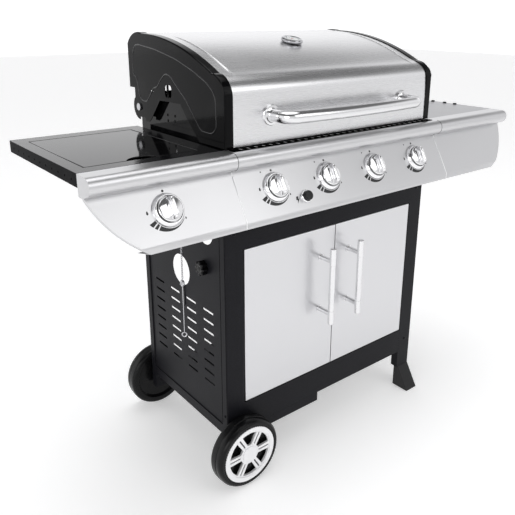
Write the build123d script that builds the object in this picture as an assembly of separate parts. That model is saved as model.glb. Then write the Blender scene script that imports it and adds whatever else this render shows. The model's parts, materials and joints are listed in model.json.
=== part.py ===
"""Gas barbecue grill on a two-wheeled cart: four main burners, a side burner, a hinged lid and two doors.

Cart frame used by every function, in millimetres: X to the right from the cart's middle, Y to the back
from the cart's front face, Z up from the ground. save() moves each piece to the stored frame, whose
origin is the middle of the whole grill's footprint.
"""
from build123d import *
import os
from math import cos, hypot, radians, sin

os.makedirs("parts", exist_ok=True)

# ---- driving dimensions ------------------------------------------------------------------------
CART_HALF = 300.0            # half the cart's width
CART_DEPTH = 335.0
POST_W = 45.0                # seen from the front
POST_D = 20.0
SHEET = 1.2
BASE_BOTTOM = 102.0
BASE_TOP = 125.0
SHELF_TOP = 118.0
PANEL_TOP = 703.0
POST_SHOULDER = 600.0        # the posts narrow above this, beside the firebox
POST_NARROW = 13.0
LEFT_LEG_BOTTOM = 62.0
FOOT_TOP = 60.0

RAIL_D = 18.0
TOP_RAIL = (525.0, 596.0)
LOW_RAIL = (106.0, 172.0)
DOOR_Z = (174.0, 523.0)
DOOR_GAP = 2.0
DOOR_PIVOT_X = 230.0
DOOR_PIVOT_Y = 9.0
PIN_R = 3.0
FIT = 0.05                   # radial running clearance of every pin
GAP = 0.1                    # between fixed pieces that are bolted side by side

WHEEL_R = 78.0
WHEEL_X = -276.0
WHEEL_W = 39.0
CAP_R = 63.5
AXLE_R = 5.0
FRONT_WHEEL_Y = -8.0         # inner faces of the two wheels
REAR_WHEEL_Y = 336.0

TABLE_TOP = 729.0
TABLE_BOTTOM = 705.6
TABLE_T = 1.5
TABLE_OUT = 577.0
TABLE_IN = 300.0
TABLE_Y = (1.6, 335.0)
BURNER_LID_X = (-551.0, -336.0)
BURNER_LID_Y = (34.0, 296.0)
BURNER_LID_GAP = 1.5
BURNER_PIVOT = (292.0, 725.0)

FASCIA_T = 1.5
ROLL_R = 16.0
FOLD_TOP = (-21.0, 693.0)    # the control panel's upper and lower folds
FOLD_LOW = (-68.5, 609.0)
FASCIA_BOTTOM = 594.0
FASCIA_SEAM = 297.0
FASCIA_CUT_R = 200.0

KNOB_X = (-443.0, -209.0, -70.5, 68.0, 208.0)
KNOB_V = 52.0                # height of the knobs above the lower fold, along the panel
KNOB_R = 22.5
BEZEL_R = 30.0
STEM_R = 4.0
STEM_TRAVEL = 4.0
PIPE = (-12.0, 631.0, 8.0)   # the gas pipe's (y, z) and radius
IGNITER_X = -145.0
IGNITER_V = 21.0
IGNITER_R = 10.0

LID_HALF = 297.0
LID_T = 1.5
LID_RIM = 18.0
LID_FRONT = -4.0
LID_BACK = 368.0
LID_HINGE = (324.0, 772.0)
LID_PIN_R = 4.0
HANDLE_X = 191.0
HANDLE_Z = 785.0
HANDLE_R = 12.0

BOX_HALF = 284.0             # firebox
BOX_Y = (5.0, 342.0)
BOX_T = 1.5
BOX_SIDE_TOP = 800.0
BOX_FRONT_TOP = 765.0
BOX_LOW = 640.0
FUNNEL_BOTTOM = 585.0
FUNNEL_HALF = 150.0
FUNNEL_Y = (80.0, 260.0)
BURNER_Z = 675.0
BURNER_R = 12.5
GRATE_Z = 742.0

ORIGIN_Y = 149.01            # from the cart's front face back to the middle of the footprint

# the control panel's own axes: up along it, and straight out of it
PANEL_LEN = hypot(FOLD_TOP[0] - FOLD_LOW[0], FOLD_TOP[1] - FOLD_LOW[1])
UP = ((FOLD_TOP[0] - FOLD_LOW[0]) / PANEL_LEN, (FOLD_TOP[1] - FOLD_LOW[1]) / PANEL_LEN)
OUT = (-UP[1], UP[0])


# ---- helpers -----------------------------------------------------------------------------------
def save(name, shape):
    """Write one piece in the stored frame."""
    placed = [Pos(0, -ORIGIN_Y, 0) * solid for solid in shape.solids()]
    export_step(placed[0] if len(placed) == 1 else Compound(placed), f"parts/{name}.step")


def block(x, y, z):
    """A box given by its (low, high) limits on each axis."""
    centre = ((x[0] + x[1]) / 2, (y[0] + y[1]) / 2, (z[0] + z[1]) / 2)
    return Pos(*centre) * Box(x[1] - x[0], y[1] - y[0], z[1] - z[0])


def pan(x, y, z, t, open_faces):
    """A thin-walled box, open on the faces named, such as ("-z", "+y")."""
    limits = []
    for axis, (low, high) in zip("xyz", (x, y, z)):
        inner_low = low - 1 if "-" + axis in open_faces else low + t
        inner_high = high + 1 if "+" + axis in open_faces else high - t
        limits.append((inner_low, inner_high))
    return block(x, y, z) - block(*limits)


def rod(start, end, r):
    """A round bar between two points."""
    axis = Vector(*end) - Vector(*start)
    place = Plane(origin=start, z_dir=axis)
    return extrude(place * Circle(r), amount=axis.length)


def prism_x(points, x):
    """A (y, z) outline pushed from x[0] to x[1]."""
    outline = make_face(Polyline(*points, close=True))
    return Pos(x[0], 0, 0) * extrude(Plane.YZ * outline, amount=x[1] - x[0])


def mirrored(shape):
    """The same piece on the other side of the cart."""
    return mirror(shape, about=Plane.YZ)


def joined(shapes):
    """All the shapes as one solid."""
    first, *rest = shapes
    return first.fuse(*rest) if rest else first


def group(shapes):
    """Separate solids kept in one node."""
    return Compound([solid for shape in shapes for solid in shape.solids()])


def on_panel(x, v):
    """A plane on the control panel's face: local X is +X, local Y runs up the panel, Z points out."""
    origin = (x, FOLD_LOW[0] + v * UP[0], FOLD_LOW[1] + v * UP[1])
    return Plane(origin=origin, x_dir=(1, 0, 0), z_dir=(0, OUT[0], OUT[1]))


def turned(profile, place):
    """A body of revolution about the place's Z, from (radius, height) points."""
    outline = make_face(Polyline(*profile, close=True))
    return place * revolve(Plane.XZ * outline, Axis.Z)


# ---- the cart ----------------------------------------------------------------------------------
SLOT_Y = 270.9               # rearmost column of slots
SLOT_PITCH_Y = 67.3
SLOT_Z = 374.6               # top row
SLOT_PITCH_Z = 24.2
SLOT_LEN = 38.7
SLOT_W = 5.0
VIEW_HOLE = (172.9, 435.1, 35.0)
HOSE_HOLE = (73.0, 552.0, 28.0)
CLAMP_AT = (77.8, 471.9)


def side_slots(x):
    """Four columns of eight round-ended slots, as cutters through the panel at x."""
    straight = SLOT_LEN - SLOT_W
    cutters = []
    for column in range(4):
        for row in range(8):
            y = SLOT_Y - column * SLOT_PITCH_Y
            z = SLOT_Z - row * SLOT_PITCH_Z
            slot = Plane(origin=(x, y, z), x_dir=(0, 1, 0), z_dir=(1, 0, 0)) * SlotCenterToCenter(straight, SLOT_W)
            cutters.append(extrude(slot, amount=6, both=True))
    return cutters


def post(y, leg_bottom):
    """A left corner post: a box tube that narrows beside the firebox and is open at its foot."""
    x = (-CART_HALF, -CART_HALF + POST_W)
    tube = pan(x, y, (leg_bottom, POST_SHOULDER), SHEET, ("-z",))
    narrow = pan((-CART_HALF, -CART_HALF + POST_NARROW), y, (POST_SHOULDER - 2 * SHEET, PANEL_TOP), SHEET, ("-z",))
    return tube - block((-CART_HALF + SHEET, -CART_HALF + POST_NARROW - SHEET),
                        (y[0] + SHEET, y[1] - SHEET), (POST_SHOULDER - 5, POST_SHOULDER + 5)) + narrow


def side_panel(leg_bottom, axle_holes, hose_holes):
    """The left side: two posts, the base channel and the set-in panel with its slots, as one pressing."""
    front = (0, POST_D)
    back = (CART_DEPTH - POST_D, CART_DEPTH)
    channel = pan((-CART_HALF, -CART_HALF + RAIL_D), (POST_D, CART_DEPTH - POST_D),
                  (BASE_BOTTOM, BASE_TOP), SHEET, ("-z", "-y", "+y"))
    inset = 2.0
    sheet = block((-CART_HALF + inset, -CART_HALF + inset + SHEET),
                  (POST_D - 0.5, CART_DEPTH - POST_D + 0.5), (BASE_TOP - 1, PANEL_TOP))
    side = post(front, leg_bottom) + post(back, leg_bottom) + channel + sheet
    side -= side_slots(-CART_HALF + inset)
    if axle_holes:
        side -= rod((WHEEL_X, -5, WHEEL_R), (WHEEL_X, CART_DEPTH + 5, WHEEL_R), AXLE_R)
    if hose_holes:
        for y, z, r in (VIEW_HOLE, HOSE_HOLE):
            side -= rod((-CART_HALF - 5, y, z), (-CART_HALF + 9, y, z), r)
        side -= rod((-CART_HALF - 5, *CLAMP_AT), (-CART_HALF + 9, *CLAMP_AT), PIN_R + FIT)
    return side


def front_rail(z, pin_flange):
    """A channel between the posts, open to the back, with a hole for each door's pin."""
    half = CART_HALF - POST_W
    rail = pan((-half, half), (0, RAIL_D), z, SHEET, ("+y",))
    for x in (-DOOR_PIVOT_X, DOOR_PIVOT_X):
        rail -= rod((x, DOOR_PIVOT_Y, pin_flange - 3), (x, DOOR_PIVOT_Y, pin_flange + 3), PIN_R + FIT)
    return rail


def top_rail():
    """The upper channel and, behind the doors' meeting edges, the block of the magnetic catch."""
    catch = block((-30, 30), (RAIL_D - SHEET, RAIL_D + 12), (TOP_RAIL[0] - 8, TOP_RAIL[0] + 14))
    catch -= block((-31, 31), (RAIL_D - 2, RAIL_D + 0.6), (TOP_RAIL[0] - 9, TOP_RAIL[0]))
    return front_rail(TOP_RAIL, TOP_RAIL[0]) + catch


TRAY_X = (-253.0, -39.0)
TRAY_Y = (0.0, 300.0)
TRAY_BOTTOM = 84.0
TRAY_LIP = 3.0


def bottom_shelf():
    """The cart's floor, folded down round its edge, with the opening above the bottle's recess."""
    side = CART_HALF - RAIL_D
    inner = CART_HALF - POST_W
    back = CART_DEPTH - 7
    outline = [(-inner, RAIL_D), (inner, RAIL_D), (inner, POST_D), (side, POST_D), (side, CART_DEPTH - POST_D),
               (inner, CART_DEPTH - POST_D), (inner, back), (-inner, back), (-inner, CART_DEPTH - POST_D),
               (-side, CART_DEPTH - POST_D), (-side, POST_D), (-inner, POST_D)]
    face = make_face(Polyline(*outline, close=True))
    hollow = offset(face, -SHEET, kind=Kind.INTERSECTION)
    shelf = Pos(0, 0, BASE_BOTTOM) * (extrude(face, amount=SHELF_TOP - BASE_BOTTOM)
                                      - extrude(hollow, amount=SHELF_TOP - BASE_BOTTOM - SHEET))
    opening = block((TRAY_X[0] + TRAY_LIP, TRAY_X[1] - TRAY_LIP), (POST_D + TRAY_LIP + 1, TRAY_Y[1] - TRAY_LIP),
                    (SHELF_TOP - 5, SHELF_TOP + 5))
    return shelf - opening


def bottle_tray():
    """The sunken recess that a gas bottle stands in, hung under the shelf."""
    under = SHELF_TOP - SHEET
    tray = pan(TRAY_X, TRAY_Y, (TRAY_BOTTOM, under), SHEET, ("+z",))
    tray -= block((-300, 0), (-1, RAIL_D), (LOW_RAIL[0], under + 1))
    return tray - block((-300, 0), (RAIL_D - 0.1, RAIL_D + SHEET), (BASE_BOTTOM, under + 1))


def rear_brace():
    """A channel across the back, between the rear posts."""
    half = CART_HALF - POST_W
    return pan((-half, half), (CART_DEPTH - RAIL_D, CART_DEPTH - 2), (584, 618), SHEET, ("-y",))


def foot(heel, toe, back):
    """A wedge-shaped plastic foot under a right post, given by the y of its corners."""
    return prism_x([(toe, 0), (back, 0), (back, FOOT_TOP), (heel, FOOT_TOP)], (CART_HALF - 40.3, CART_HALF))


def wheel_axle():
    """The fixed axle through both left posts, with a spacer ring at each post."""
    reach = WHEEL_W - 8
    axle = rod((WHEEL_X, FRONT_WHEEL_Y - reach, WHEEL_R), (WHEEL_X, REAR_WHEEL_Y + reach, WHEEL_R), AXLE_R)
    front = rod((WHEEL_X, FRONT_WHEEL_Y + 0.3, WHEEL_R), (WHEEL_X, 0, WHEEL_R), AXLE_R + 4)
    back = rod((WHEEL_X, CART_DEPTH, WHEEL_R), (WHEEL_X, REAR_WHEEL_Y - 0.2, WHEEL_R), AXLE_R + 4)
    return axle + front + back


CAP_T = 7.0


def wheel_plane(y, outward):
    """A plane on a wheel's inner face, its Z pointing out of the cart."""
    return Plane(origin=(WHEEL_X, y, WHEEL_R), x_dir=(1, 0, 0), z_dir=(0, outward, 0))


def tyre(place):
    """The black moulded wheel: a rounded tread, a web and the bore, recessed for the cap."""
    edge = 6.0
    web = (12.0, WHEEL_W - CAP_T)
    profile = [(AXLE_R + FIT, 0), (16, 0), (20, web[0]), (50, web[0]), (56, 2), (WHEEL_R - edge, 0),
               (WHEEL_R - 1.5, edge / 3), (WHEEL_R, edge), (WHEEL_R, WHEEL_W - edge),
               (WHEEL_R - 1.5, WHEEL_W - edge / 3), (WHEEL_R - edge, WHEEL_W), (CAP_R, WHEEL_W),
               (CAP_R, web[1]), (14, web[1] - 0.5), (14, web[1] - 4), (AXLE_R + FIT, web[1] - 4)]
    return turned(profile, place)


def hub_cap(place):
    """The silver cap: outer ring, centre disc and six grooved spokes between six windows."""
    base = WHEEL_W - CAP_T
    outer, inner = 51.0, 23.0
    points = {}
    for key, radius, half_turn in (("a", outer, 21.0), ("b", outer, 0.0), ("c", inner, 13.0)):
        turn = radians(half_turn)
        points[key] = (radius * cos(turn), radius * sin(turn))
        points[key + "-"] = (radius * cos(turn), -radius * sin(turn))
    rim = ThreePointArc(points["a-"], points["b"], points["a"])
    sides = Polyline(points["a"], points["c"], points["c-"], points["a-"])
    window = extrude(Pos(0, 0, base - 1) * make_face([rim, *sides.edges()]), amount=CAP_T + 2)
    cap = extrude(Pos(0, 0, base) * Circle(CAP_R), amount=CAP_T)
    cap -= extrude(Pos(0, 0, WHEEL_W - 2) * (Circle(54) - Circle(18)), amount=3)
    for spoke in range(6):
        cap -= Rot(0, 0, 60 * spoke + 30) * window
        cap -= Rot(0, 0, 60 * spoke) * Pos(37, 0, WHEEL_W - 2.5) * Box(28, 3.4, 1.8)
    return place * cap


# ---- doors -------------------------------------------------------------------------------------
DOOR_HANDLE_X = 43.0
DOOR_HANDLE_Z = (306.0, 487.0)
DOOR_HANDLE_POSTS = (330.0, 456.0)
DOOR_HANDLE_Y = -38.0


def left_door():
    """A folded pan with its two hinge pins."""
    edge = -(CART_HALF - POST_W) + DOOR_GAP
    door = pan((edge, -DOOR_GAP / 2), (0, RAIL_D), DOOR_Z, 1.0, ("+y",))
    for low, high in ((DOOR_Z[0] - 6, DOOR_Z[0] + 8), (DOOR_Z[1] - 8, DOOR_Z[1] + 6)):
        door += rod((-DOOR_PIVOT_X, DOOR_PIVOT_Y, low), (-DOOR_PIVOT_X, DOOR_PIVOT_Y, high), PIN_R)
    return door


def left_door_handle():
    """An upright round bar on two short posts."""
    x = -DOOR_HANDLE_X
    bar = rod((x, DOOR_HANDLE_Y, DOOR_HANDLE_Z[0]), (x, DOOR_HANDLE_Y, DOOR_HANDLE_Z[1]), 7)
    posts = [rod((x, 0, z), (x, DOOR_HANDLE_Y, z), 5.5) for z in DOOR_HANDLE_POSTS]
    return joined([bar, *posts])


# ---- fascia ------------------------------------------------------------------------------------
def fascia_outline(back):
    """The fascia's outside, from its top strip round the roll and down the control panel."""
    roll_y = FOLD_TOP[0] - 8
    roll_z = TABLE_TOP - ROLL_R
    top = Line((back, TABLE_TOP), (roll_y, TABLE_TOP))
    roll = ThreePointArc((roll_y, TABLE_TOP), (roll_y - ROLL_R, roll_z), (roll_y, roll_z - ROLL_R))
    lower = Polyline((roll_y, roll_z - ROLL_R), FOLD_TOP, FOLD_LOW, (FOLD_LOW[0], FASCIA_BOTTOM),
                     (back, FASCIA_BOTTOM), (back, TABLE_TOP))
    return make_face([top, roll, *lower.edges()])


def fascia_skin(x):
    """The bent sheet between two x limits, open at the back."""
    outline = fascia_outline(60)
    section = outline - offset(outline, -FASCIA_T, kind=Kind.INTERSECTION)
    skin = Pos(x[0], 0, 0) * extrude(Plane.YZ * section, amount=x[1] - x[0])
    skin -= block((x[0] - 1, x[1] + 1), (TABLE_Y[0], 70), (500, 800))
    return skin - block((x[0] - 1, x[1] + 1), (FOLD_LOW[0] + 18, 70), (500, FASCIA_BOTTOM + 10))


def seam_plate(x):
    """The plate that closes a section at a seam and bolts to the cart's post."""
    points = [(FOLD_LOW[0] + FASCIA_T, FASCIA_BOTTOM + FASCIA_T), (0, FASCIA_BOTTOM + FASCIA_T),
              (0, TABLE_BOTTOM - 20), (FOLD_TOP[0] - 6, TABLE_BOTTOM - 20), (FOLD_LOW[0] + FASCIA_T, FOLD_LOW[1])]
    y, z, r = PIPE
    return prism_x(points, x) - rod((x[0] - 1, y, z), (x[1] + 1, y, z), r + 1)


def panel_holes(knobs, igniter):
    """Cutters for the valve stems and the igniter."""
    cutters = [extrude(on_panel(x, KNOB_V) * Circle(9), amount=8, both=True) for x in knobs]
    if igniter:
        cutters.append(extrude(on_panel(IGNITER_X, IGNITER_V) * Circle(IGNITER_R + 1), amount=8, both=True))
    return cutters


def centre_fascia():
    """The middle section, with four knobs and the igniter."""
    plate = seam_plate((FASCIA_SEAM - FASCIA_T, FASCIA_SEAM))
    return (fascia_skin((-FASCIA_SEAM, FASCIA_SEAM)) + plate + mirrored(plate)) - panel_holes(KNOB_X[1:], True)


def left_fascia():
    """An outer section: its panel's end is cut to an arc with a return flange, its roll is capped."""
    skin = fascia_skin((-TABLE_OUT, -FASCIA_SEAM))
    corner = (-TABLE_OUT + 88, -15.0)       # where the arc meets the bottom edge, in panel axes
    tip = (-TABLE_OUT, PANEL_LEN)
    face = on_panel(0, 0)
    bow = RadiusArc(tip, corner, FASCIA_CUT_R)
    if (bow @ 0.5).X > (tip[0] + corner[0]) / 2:
        bow = RadiusArc(tip, corner, -FASCIA_CUT_R)
    outside = make_face([bow, *Polyline(corner, (corner[0], -60), (tip[0] - 40, -60),
                                        (tip[0] - 40, tip[1]), tip).edges()])
    waste = extrude(face * outside, amount=40, both=True)
    waste -= block((-700, -200), (-100, 100), (FOLD_TOP[1], 800))
    rim = offset(outside, FASCIA_T, kind=Kind.INTERSECTION) - outside
    rim = extrude(face * rim, amount=-8.0) & block((-TABLE_OUT, -FASCIA_SEAM), (-80, 50), (FASCIA_BOTTOM, 692))
    rim &= Pos(-TABLE_OUT, 0, 0) * extrude(Plane.YZ * fascia_outline(60), amount=TABLE_OUT - FASCIA_SEAM)
    roll_end = fascia_outline(60) & (Pos(-40, 711) * Rectangle(2 * (40 + TABLE_Y[0]), 40))
    cap = Pos(-TABLE_OUT, 0, 0) * extrude(Plane.YZ * roll_end, amount=FASCIA_T)
    return (skin - waste) + rim + cap + seam_plate((-FASCIA_SEAM - FASCIA_T, -FASCIA_SEAM))


# ---- gas controls ------------------------------------------------------------------------------
VALVE_FROM = 12.0            # the valve bodies start this far behind the panel
VALVE_TO = 36.0
INLET_X = -385.0
INLET_R = 5.0
INLET_Z = (596.0, 618.0)     # the bare spigot, below its collar


def manifold():
    """The gas pipe with a valve behind each knob, a spud to each main burner and the hose inlet."""
    y, z, r = PIPE
    pipe = rod((KNOB_X[0] - 15, y, z), (KNOB_X[-1] + 15, y, z), r)
    collar = rod((INLET_X, y, z), (INLET_X, y, INLET_Z[1]), 9)
    inlet = rod((INLET_X, y, z), (INLET_X, y, INLET_Z[0]), INLET_R)
    pieces = [pipe, collar, inlet]
    for x in KNOB_X:
        place = on_panel(x, KNOB_V)
        body = extrude(place.offset(-VALVE_FROM) * Rectangle(22, 26), amount=VALVE_FROM - VALVE_TO)
        pieces.append(body)
        pieces.append(rod((x, -14, z + 4), (x, -6, BURNER_Z), 4))
    whole = joined(pieces)
    for x in KNOB_X:
        bore = extrude(on_panel(x, KNOB_V).offset(-VALVE_FROM + 1) * Circle(STEM_R + FIT), amount=-20)
        whole -= bore
    return whole


def valve_stem(x):
    """The sprung stem that a knob turns on: it slides into the valve as the knob is pushed."""
    shaft = extrude(on_panel(x, KNOB_V).offset(-VALVE_FROM - 14) * Circle(STEM_R), amount=VALVE_FROM + 14 + 18)
    collar = extrude(on_panel(x, KNOB_V).offset(-VALVE_FROM + STEM_TRAVEL + 1) * Circle(6.5), amount=2)
    return shaft + collar


def knob_bezel(x):
    """The chrome ring round a knob, rising from its rim to its lip."""
    profile = [(24, 0), (BEZEL_R, 0), (BEZEL_R, 1.2), (29, 4), (27, 7), (25, 8.2), (24, 8.2)]
    return turned(profile, on_panel(x, KNOB_V))


def control_knob(x):
    """A round knob with a raised grip, bored for its stem."""
    place = on_panel(x, KNOB_V)
    disc = turned([(0, 5.5), (KNOB_R - 1.5, 5.5), (KNOB_R, 6.5), (KNOB_R, 10.5), (21, 12.5), (0, 14)], place)
    grip = extrude(place.offset(10) * RectangleRounded(12, 40, 5.5), amount=18, taper=4)
    knob = disc + grip
    return knob - extrude(place.offset(4) * Circle(STEM_R + FIT), amount=15)


def igniter_collar():
    """The chrome collar round the igniter button, with its body behind the panel."""
    profile = [(IGNITER_R + FIT, -22), (IGNITER_R + 1, -22), (IGNITER_R + 1, 0), (IGNITER_R + 3.5, 0),
               (IGNITER_R + 3, 3), (IGNITER_R + 1.5, 5), (IGNITER_R + FIT, 5)]
    return turned(profile, on_panel(IGNITER_X, IGNITER_V))


def igniter_button():
    """The push button of the igniter."""
    profile = [(0, -15), (IGNITER_R, -15), (IGNITER_R, 10), (IGNITER_R - 1.5, 12), (0, 12.5)]
    return turned(profile, on_panel(IGNITER_X, IGNITER_V))


# ---- lid ---------------------------------------------------------------------------------------
LID_BOTTOM = 731.0
LID_STEP_Z = 812.0           # lowest point of the lid's back
LID_SHOULDER = ((LID_FRONT, 826), (0, 840), (37, 865))       # three points on each arc, as (y, z)
LID_SLOPE = ((37, 865), (159, 910), (304, 928))
LID_CORNER = ((304, 928), (341, 927), (LID_BACK, 906))
SPIT_HOLE = (197.0, 817.0, 26.0)


def lid_profile():
    """The outside of the lid from the side, closed along its bottom: face in (y, z)."""
    front = Line((LID_FRONT, LID_BOTTOM), LID_SHOULDER[0])
    shoulder = ThreePointArc(*LID_SHOULDER)
    slope = ThreePointArc(*LID_SLOPE)
    corner = ThreePointArc(*LID_CORNER)
    back = Polyline(LID_CORNER[-1], (LID_BACK, LID_BOTTOM), (LID_FRONT, LID_BOTTOM))
    return make_face([front, shoulder, slope, corner, *back.edges()])


def lid_skin():
    """The stainless sheet between the two ends."""
    outer = offset(lid_profile(), -LID_T)
    section = outer - offset(lid_profile(), -2 * LID_T)
    section -= Pos(180, LID_BOTTOM) * Rectangle(500, 8)
    section -= Pos(LID_BACK, LID_BOTTOM) * Rectangle(200, 2 * (LID_STEP_Z - LID_BOTTOM))
    half = LID_HALF - LID_T
    skin = Pos(-half, 0, 0) * extrude(Plane.YZ * section, amount=2 * half)
    return skin - rod((0, 160, 880), (0, 160, 940), 4)


def lid_left_end():
    """A pressed end: the side plate with its hinge lobe, and the rim that laps the skin."""
    profile = lid_profile()
    notch = [(86, LID_BOTTOM - 5), (86, 733), (127, 770), (152, 797), (233, 795), (275, 749), (283, 744),
             (296, 744), (296, LID_BOTTOM - 5)]
    plate = profile - make_face(Polyline(*notch, close=True))
    plate -= Pos(LID_BACK + 25, LID_STEP_Z - 100) * Rectangle(100, 200)
    plate -= Pos(LID_BACK, LID_BOTTOM) * Rectangle(2 * (LID_BACK - 296), 26)
    lobe = Pos(*LID_HINGE) * Circle(28) - Pos(LID_HINGE[0] - 30, LID_HINGE[1] + 10) * Rectangle(60, 80)
    plate = plate - (Pos(LID_HINGE[0] + 5, 750) * Rectangle(60, 44)) + (lobe & Pos(324, 760) * Rectangle(80, 60))
    plate += Pos(310, 775) * Rectangle(28, 50)
    plate -= Pos(*LID_HINGE) * Circle(LID_PIN_R + FIT)
    y, z, wide = SPIT_HOLE
    plate -= Pos(y, z) * RectangleRounded(wide, wide, 8)
    plate -= Pos(265, 811) * SlotOverall(12, 4)
    rim = profile - offset(profile, -LID_T)
    rim -= Pos(180, LID_BOTTOM) * Rectangle(360, 6)
    rim -= Pos(LID_BACK, LID_BOTTOM) * Rectangle(200, 2 * (LID_STEP_Z - LID_BOTTOM))
    side = Pos(-LID_HALF, 0, 0) * extrude(Plane.YZ * plate, amount=LID_T)
    return side + Pos(-LID_HALF, 0, 0) * extrude(Plane.YZ * rim, amount=LID_RIM)


def lid_handle():
    """A slightly bowed tube across the lid's front, on two round flanges."""
    face = LID_FRONT + LID_T
    reach = -56.0
    bow = -64.0
    route = FilletPolyline((-HANDLE_X, face, HANDLE_Z), (-HANDLE_X, reach, HANDLE_Z), (0, bow, HANDLE_Z),
                           (HANDLE_X, reach, HANDLE_Z), (HANDLE_X, face, HANDLE_Z), radius=[24, 900, 24])
    tube = sweep(Plane(origin=route @ 0, z_dir=route % 0) * Circle(HANDLE_R), path=route)
    flanges = [rod((x, face, HANDLE_Z), (x, face - 5, HANDLE_Z), 20) for x in (-HANDLE_X, HANDLE_X)]
    return joined([tube, *flanges])


def thermometer():
    """The round gauge on the lid's slope, with its probe."""
    tilt = 13.6
    place = Plane(origin=(0, 160, 908.5), x_dir=(1, 0, 0), z_dir=(0, -sin(radians(tilt)), cos(radians(tilt))))
    dial = turned([(0, 1.5), (25, 1.5), (25, 7), (23.5, 9.5), (18, 9.5), (18, 8), (0, 8)], place)
    probe = turned([(0, -60), (3, -60), (3, 2), (0, 2)], place)
    return dial + probe


def lid_pins():
    """The two shoulder bolts that the lid turns on, each with its nut inside the firebox."""
    y, z = LID_HINGE
    shank = rod((-LID_HALF - 0.3, y, z), (-BOX_HALF + 8, y, z), LID_PIN_R)
    head = rod((-LID_HALF - 3.5, y, z), (-LID_HALF - 0.3, y, z), 8)
    nut = extrude(Plane(origin=(-BOX_HALF + BOX_T, y, z), z_dir=(1, 0, 0)) * RegularPolygon(7.5, 6), amount=5)
    shoulder = rod((-BOX_HALF, y, z), (-LID_HALF + LID_T + 0.3, y, z), 6.5)
    pin = joined([shank, head, nut, shoulder])
    return group([pin, mirrored(pin)])


# ---- firebox -----------------------------------------------------------------------------------
def funnel(grow):
    """The sloping bottom as a solid, smaller by grow on every side."""
    top = Plane(origin=(0, (BOX_Y[0] + BOX_Y[1]) / 2, BOX_LOW)) * Rectangle(
        2 * (BOX_HALF + grow), BOX_Y[1] - BOX_Y[0] + 2 * grow)
    low = Plane(origin=(0, (FUNNEL_Y[0] + FUNNEL_Y[1]) / 2, FUNNEL_BOTTOM)) * Rectangle(
        2 * (FUNNEL_HALF + grow), FUNNEL_Y[1] - FUNNEL_Y[0] + 2 * grow)
    return loft([low, top])


def firebox():
    """The enamelled burner box: four walls, a funnel floor, grate ledges and the tray's guides."""
    walls = pan((-BOX_HALF, BOX_HALF), BOX_Y, (BOX_LOW, BOX_SIDE_TOP), BOX_T, ("+z", "-z"))
    walls -= block((-BOX_HALF + BOX_T, BOX_HALF - BOX_T), (0, 20), (BOX_FRONT_TOP, 820))
    floor = funnel(0) - funnel(-BOX_T)
    ledge = block((-BOX_HALF + 1, BOX_HALF - 1), (BOX_Y[0] + 1, BOX_Y[0] + 11), (GRATE_Z - 2, GRATE_Z))
    back_ledge = block((-BOX_HALF + 1, BOX_HALF - 1), (BOX_Y[1] - 11, BOX_Y[1] - 1), (GRATE_Z - 2, GRATE_Z))
    guide = block((-FUNNEL_HALF, -FUNNEL_HALF + BOX_T), FUNNEL_Y, (552, FUNNEL_BOTTOM))
    guide += block((-FUNNEL_HALF, -FUNNEL_HALF + 10), FUNNEL_Y, (552, 552 + BOX_T))
    box = joined([walls, floor, ledge, back_ledge, guide, mirrored(guide)])
    for x in KNOB_X[1:]:
        box -= rod((x, 0, BURNER_Z), (x, 20, BURNER_Z), BURNER_R + GAP)
    for y, z, r in ((*LID_HINGE, LID_PIN_R + GAP), (225, 765, 3), (224, 753, 3), (195, 766, 3), (197, 755, 3)):
        box -= rod((-300, y, z), (300, y, z), r)
    for x in range(-240, -20, 20):
        box -= block((x, x + 8), (0, 8), (748, 758))
    return box


def firebox_brackets():
    """The two angles that carry the firebox between the side panels."""
    panel = CART_HALF - 2 - SHEET
    flat = block((-panel + GAP, -BOX_HALF - GAP), (30, 300), (650, 652))
    leg = block((-panel + GAP, -panel + 2), (30, 300), (630, 652))
    angle = flat + leg
    return group([angle, mirrored(angle)])


def main_burners():
    """Four straight tube burners, each with a tab on the back wall."""
    burners = []
    for x in KNOB_X[1:]:
        tube = rod((x, -4, BURNER_Z), (x, 322, BURNER_Z), BURNER_R)
        tube -= rod((x, -5, BURNER_Z), (x, 60, BURNER_Z), BURNER_R - 1.5)
        tab = block((x - 10, x + 10), (320, BOX_Y[1] - BOX_T - GAP), (BURNER_Z - 1, BURNER_Z + 1))
        burners.append(tube + tab)
    return group(burners)


def flame_tamers():
    """The roof-shaped heat plates over the burners."""
    plates = []
    for x in KNOB_X[1:]:
        roof = [(x - 48, 703), (x, 727), (x + 48, 703), (x + 48, 704.6), (x, 728.6), (x - 48, 704.6)]
        outline = make_face(Polyline(*roof, close=True))
        back = Plane(origin=(0, BOX_Y[1] - BOX_T - GAP, 0), x_dir=(1, 0, 0), z_dir=(0, -1, 0))
        plate = extrude(back * outline, amount=BOX_Y[1] - BOX_Y[0] - 2 * (BOX_T + GAP))
        plates.append(plate)
    return group(plates)


def cooking_grate():
    """The left half of the cooking surface: a cast frame with bars from front to back."""
    x = (-BOX_HALF + 4, -2)
    y = (BOX_Y[0] + 5, BOX_Y[1] - 5)
    z = (GRATE_Z, GRATE_Z + 10)
    frame = block(x, y, z) - block((x[0] + 9, x[1] - 9), (y[0] + 9, y[1] - 9), (z[0] - 1, z[1] + 1))
    count = 17
    pitch = (x[1] - x[0] - 18) / (count + 1)
    bars = [block((x[0] + 9 + pitch * i - 3, x[0] + 9 + pitch * i + 3), (y[0] + 2, y[1] - 2), (z[0] + 1, z[1]))
            for i in range(1, count + 1)]
    cross = block((x[0] + 2, x[1] - 2), (168, 176), (z[0], z[0] + 6))
    return joined([frame, *bars, cross])


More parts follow.
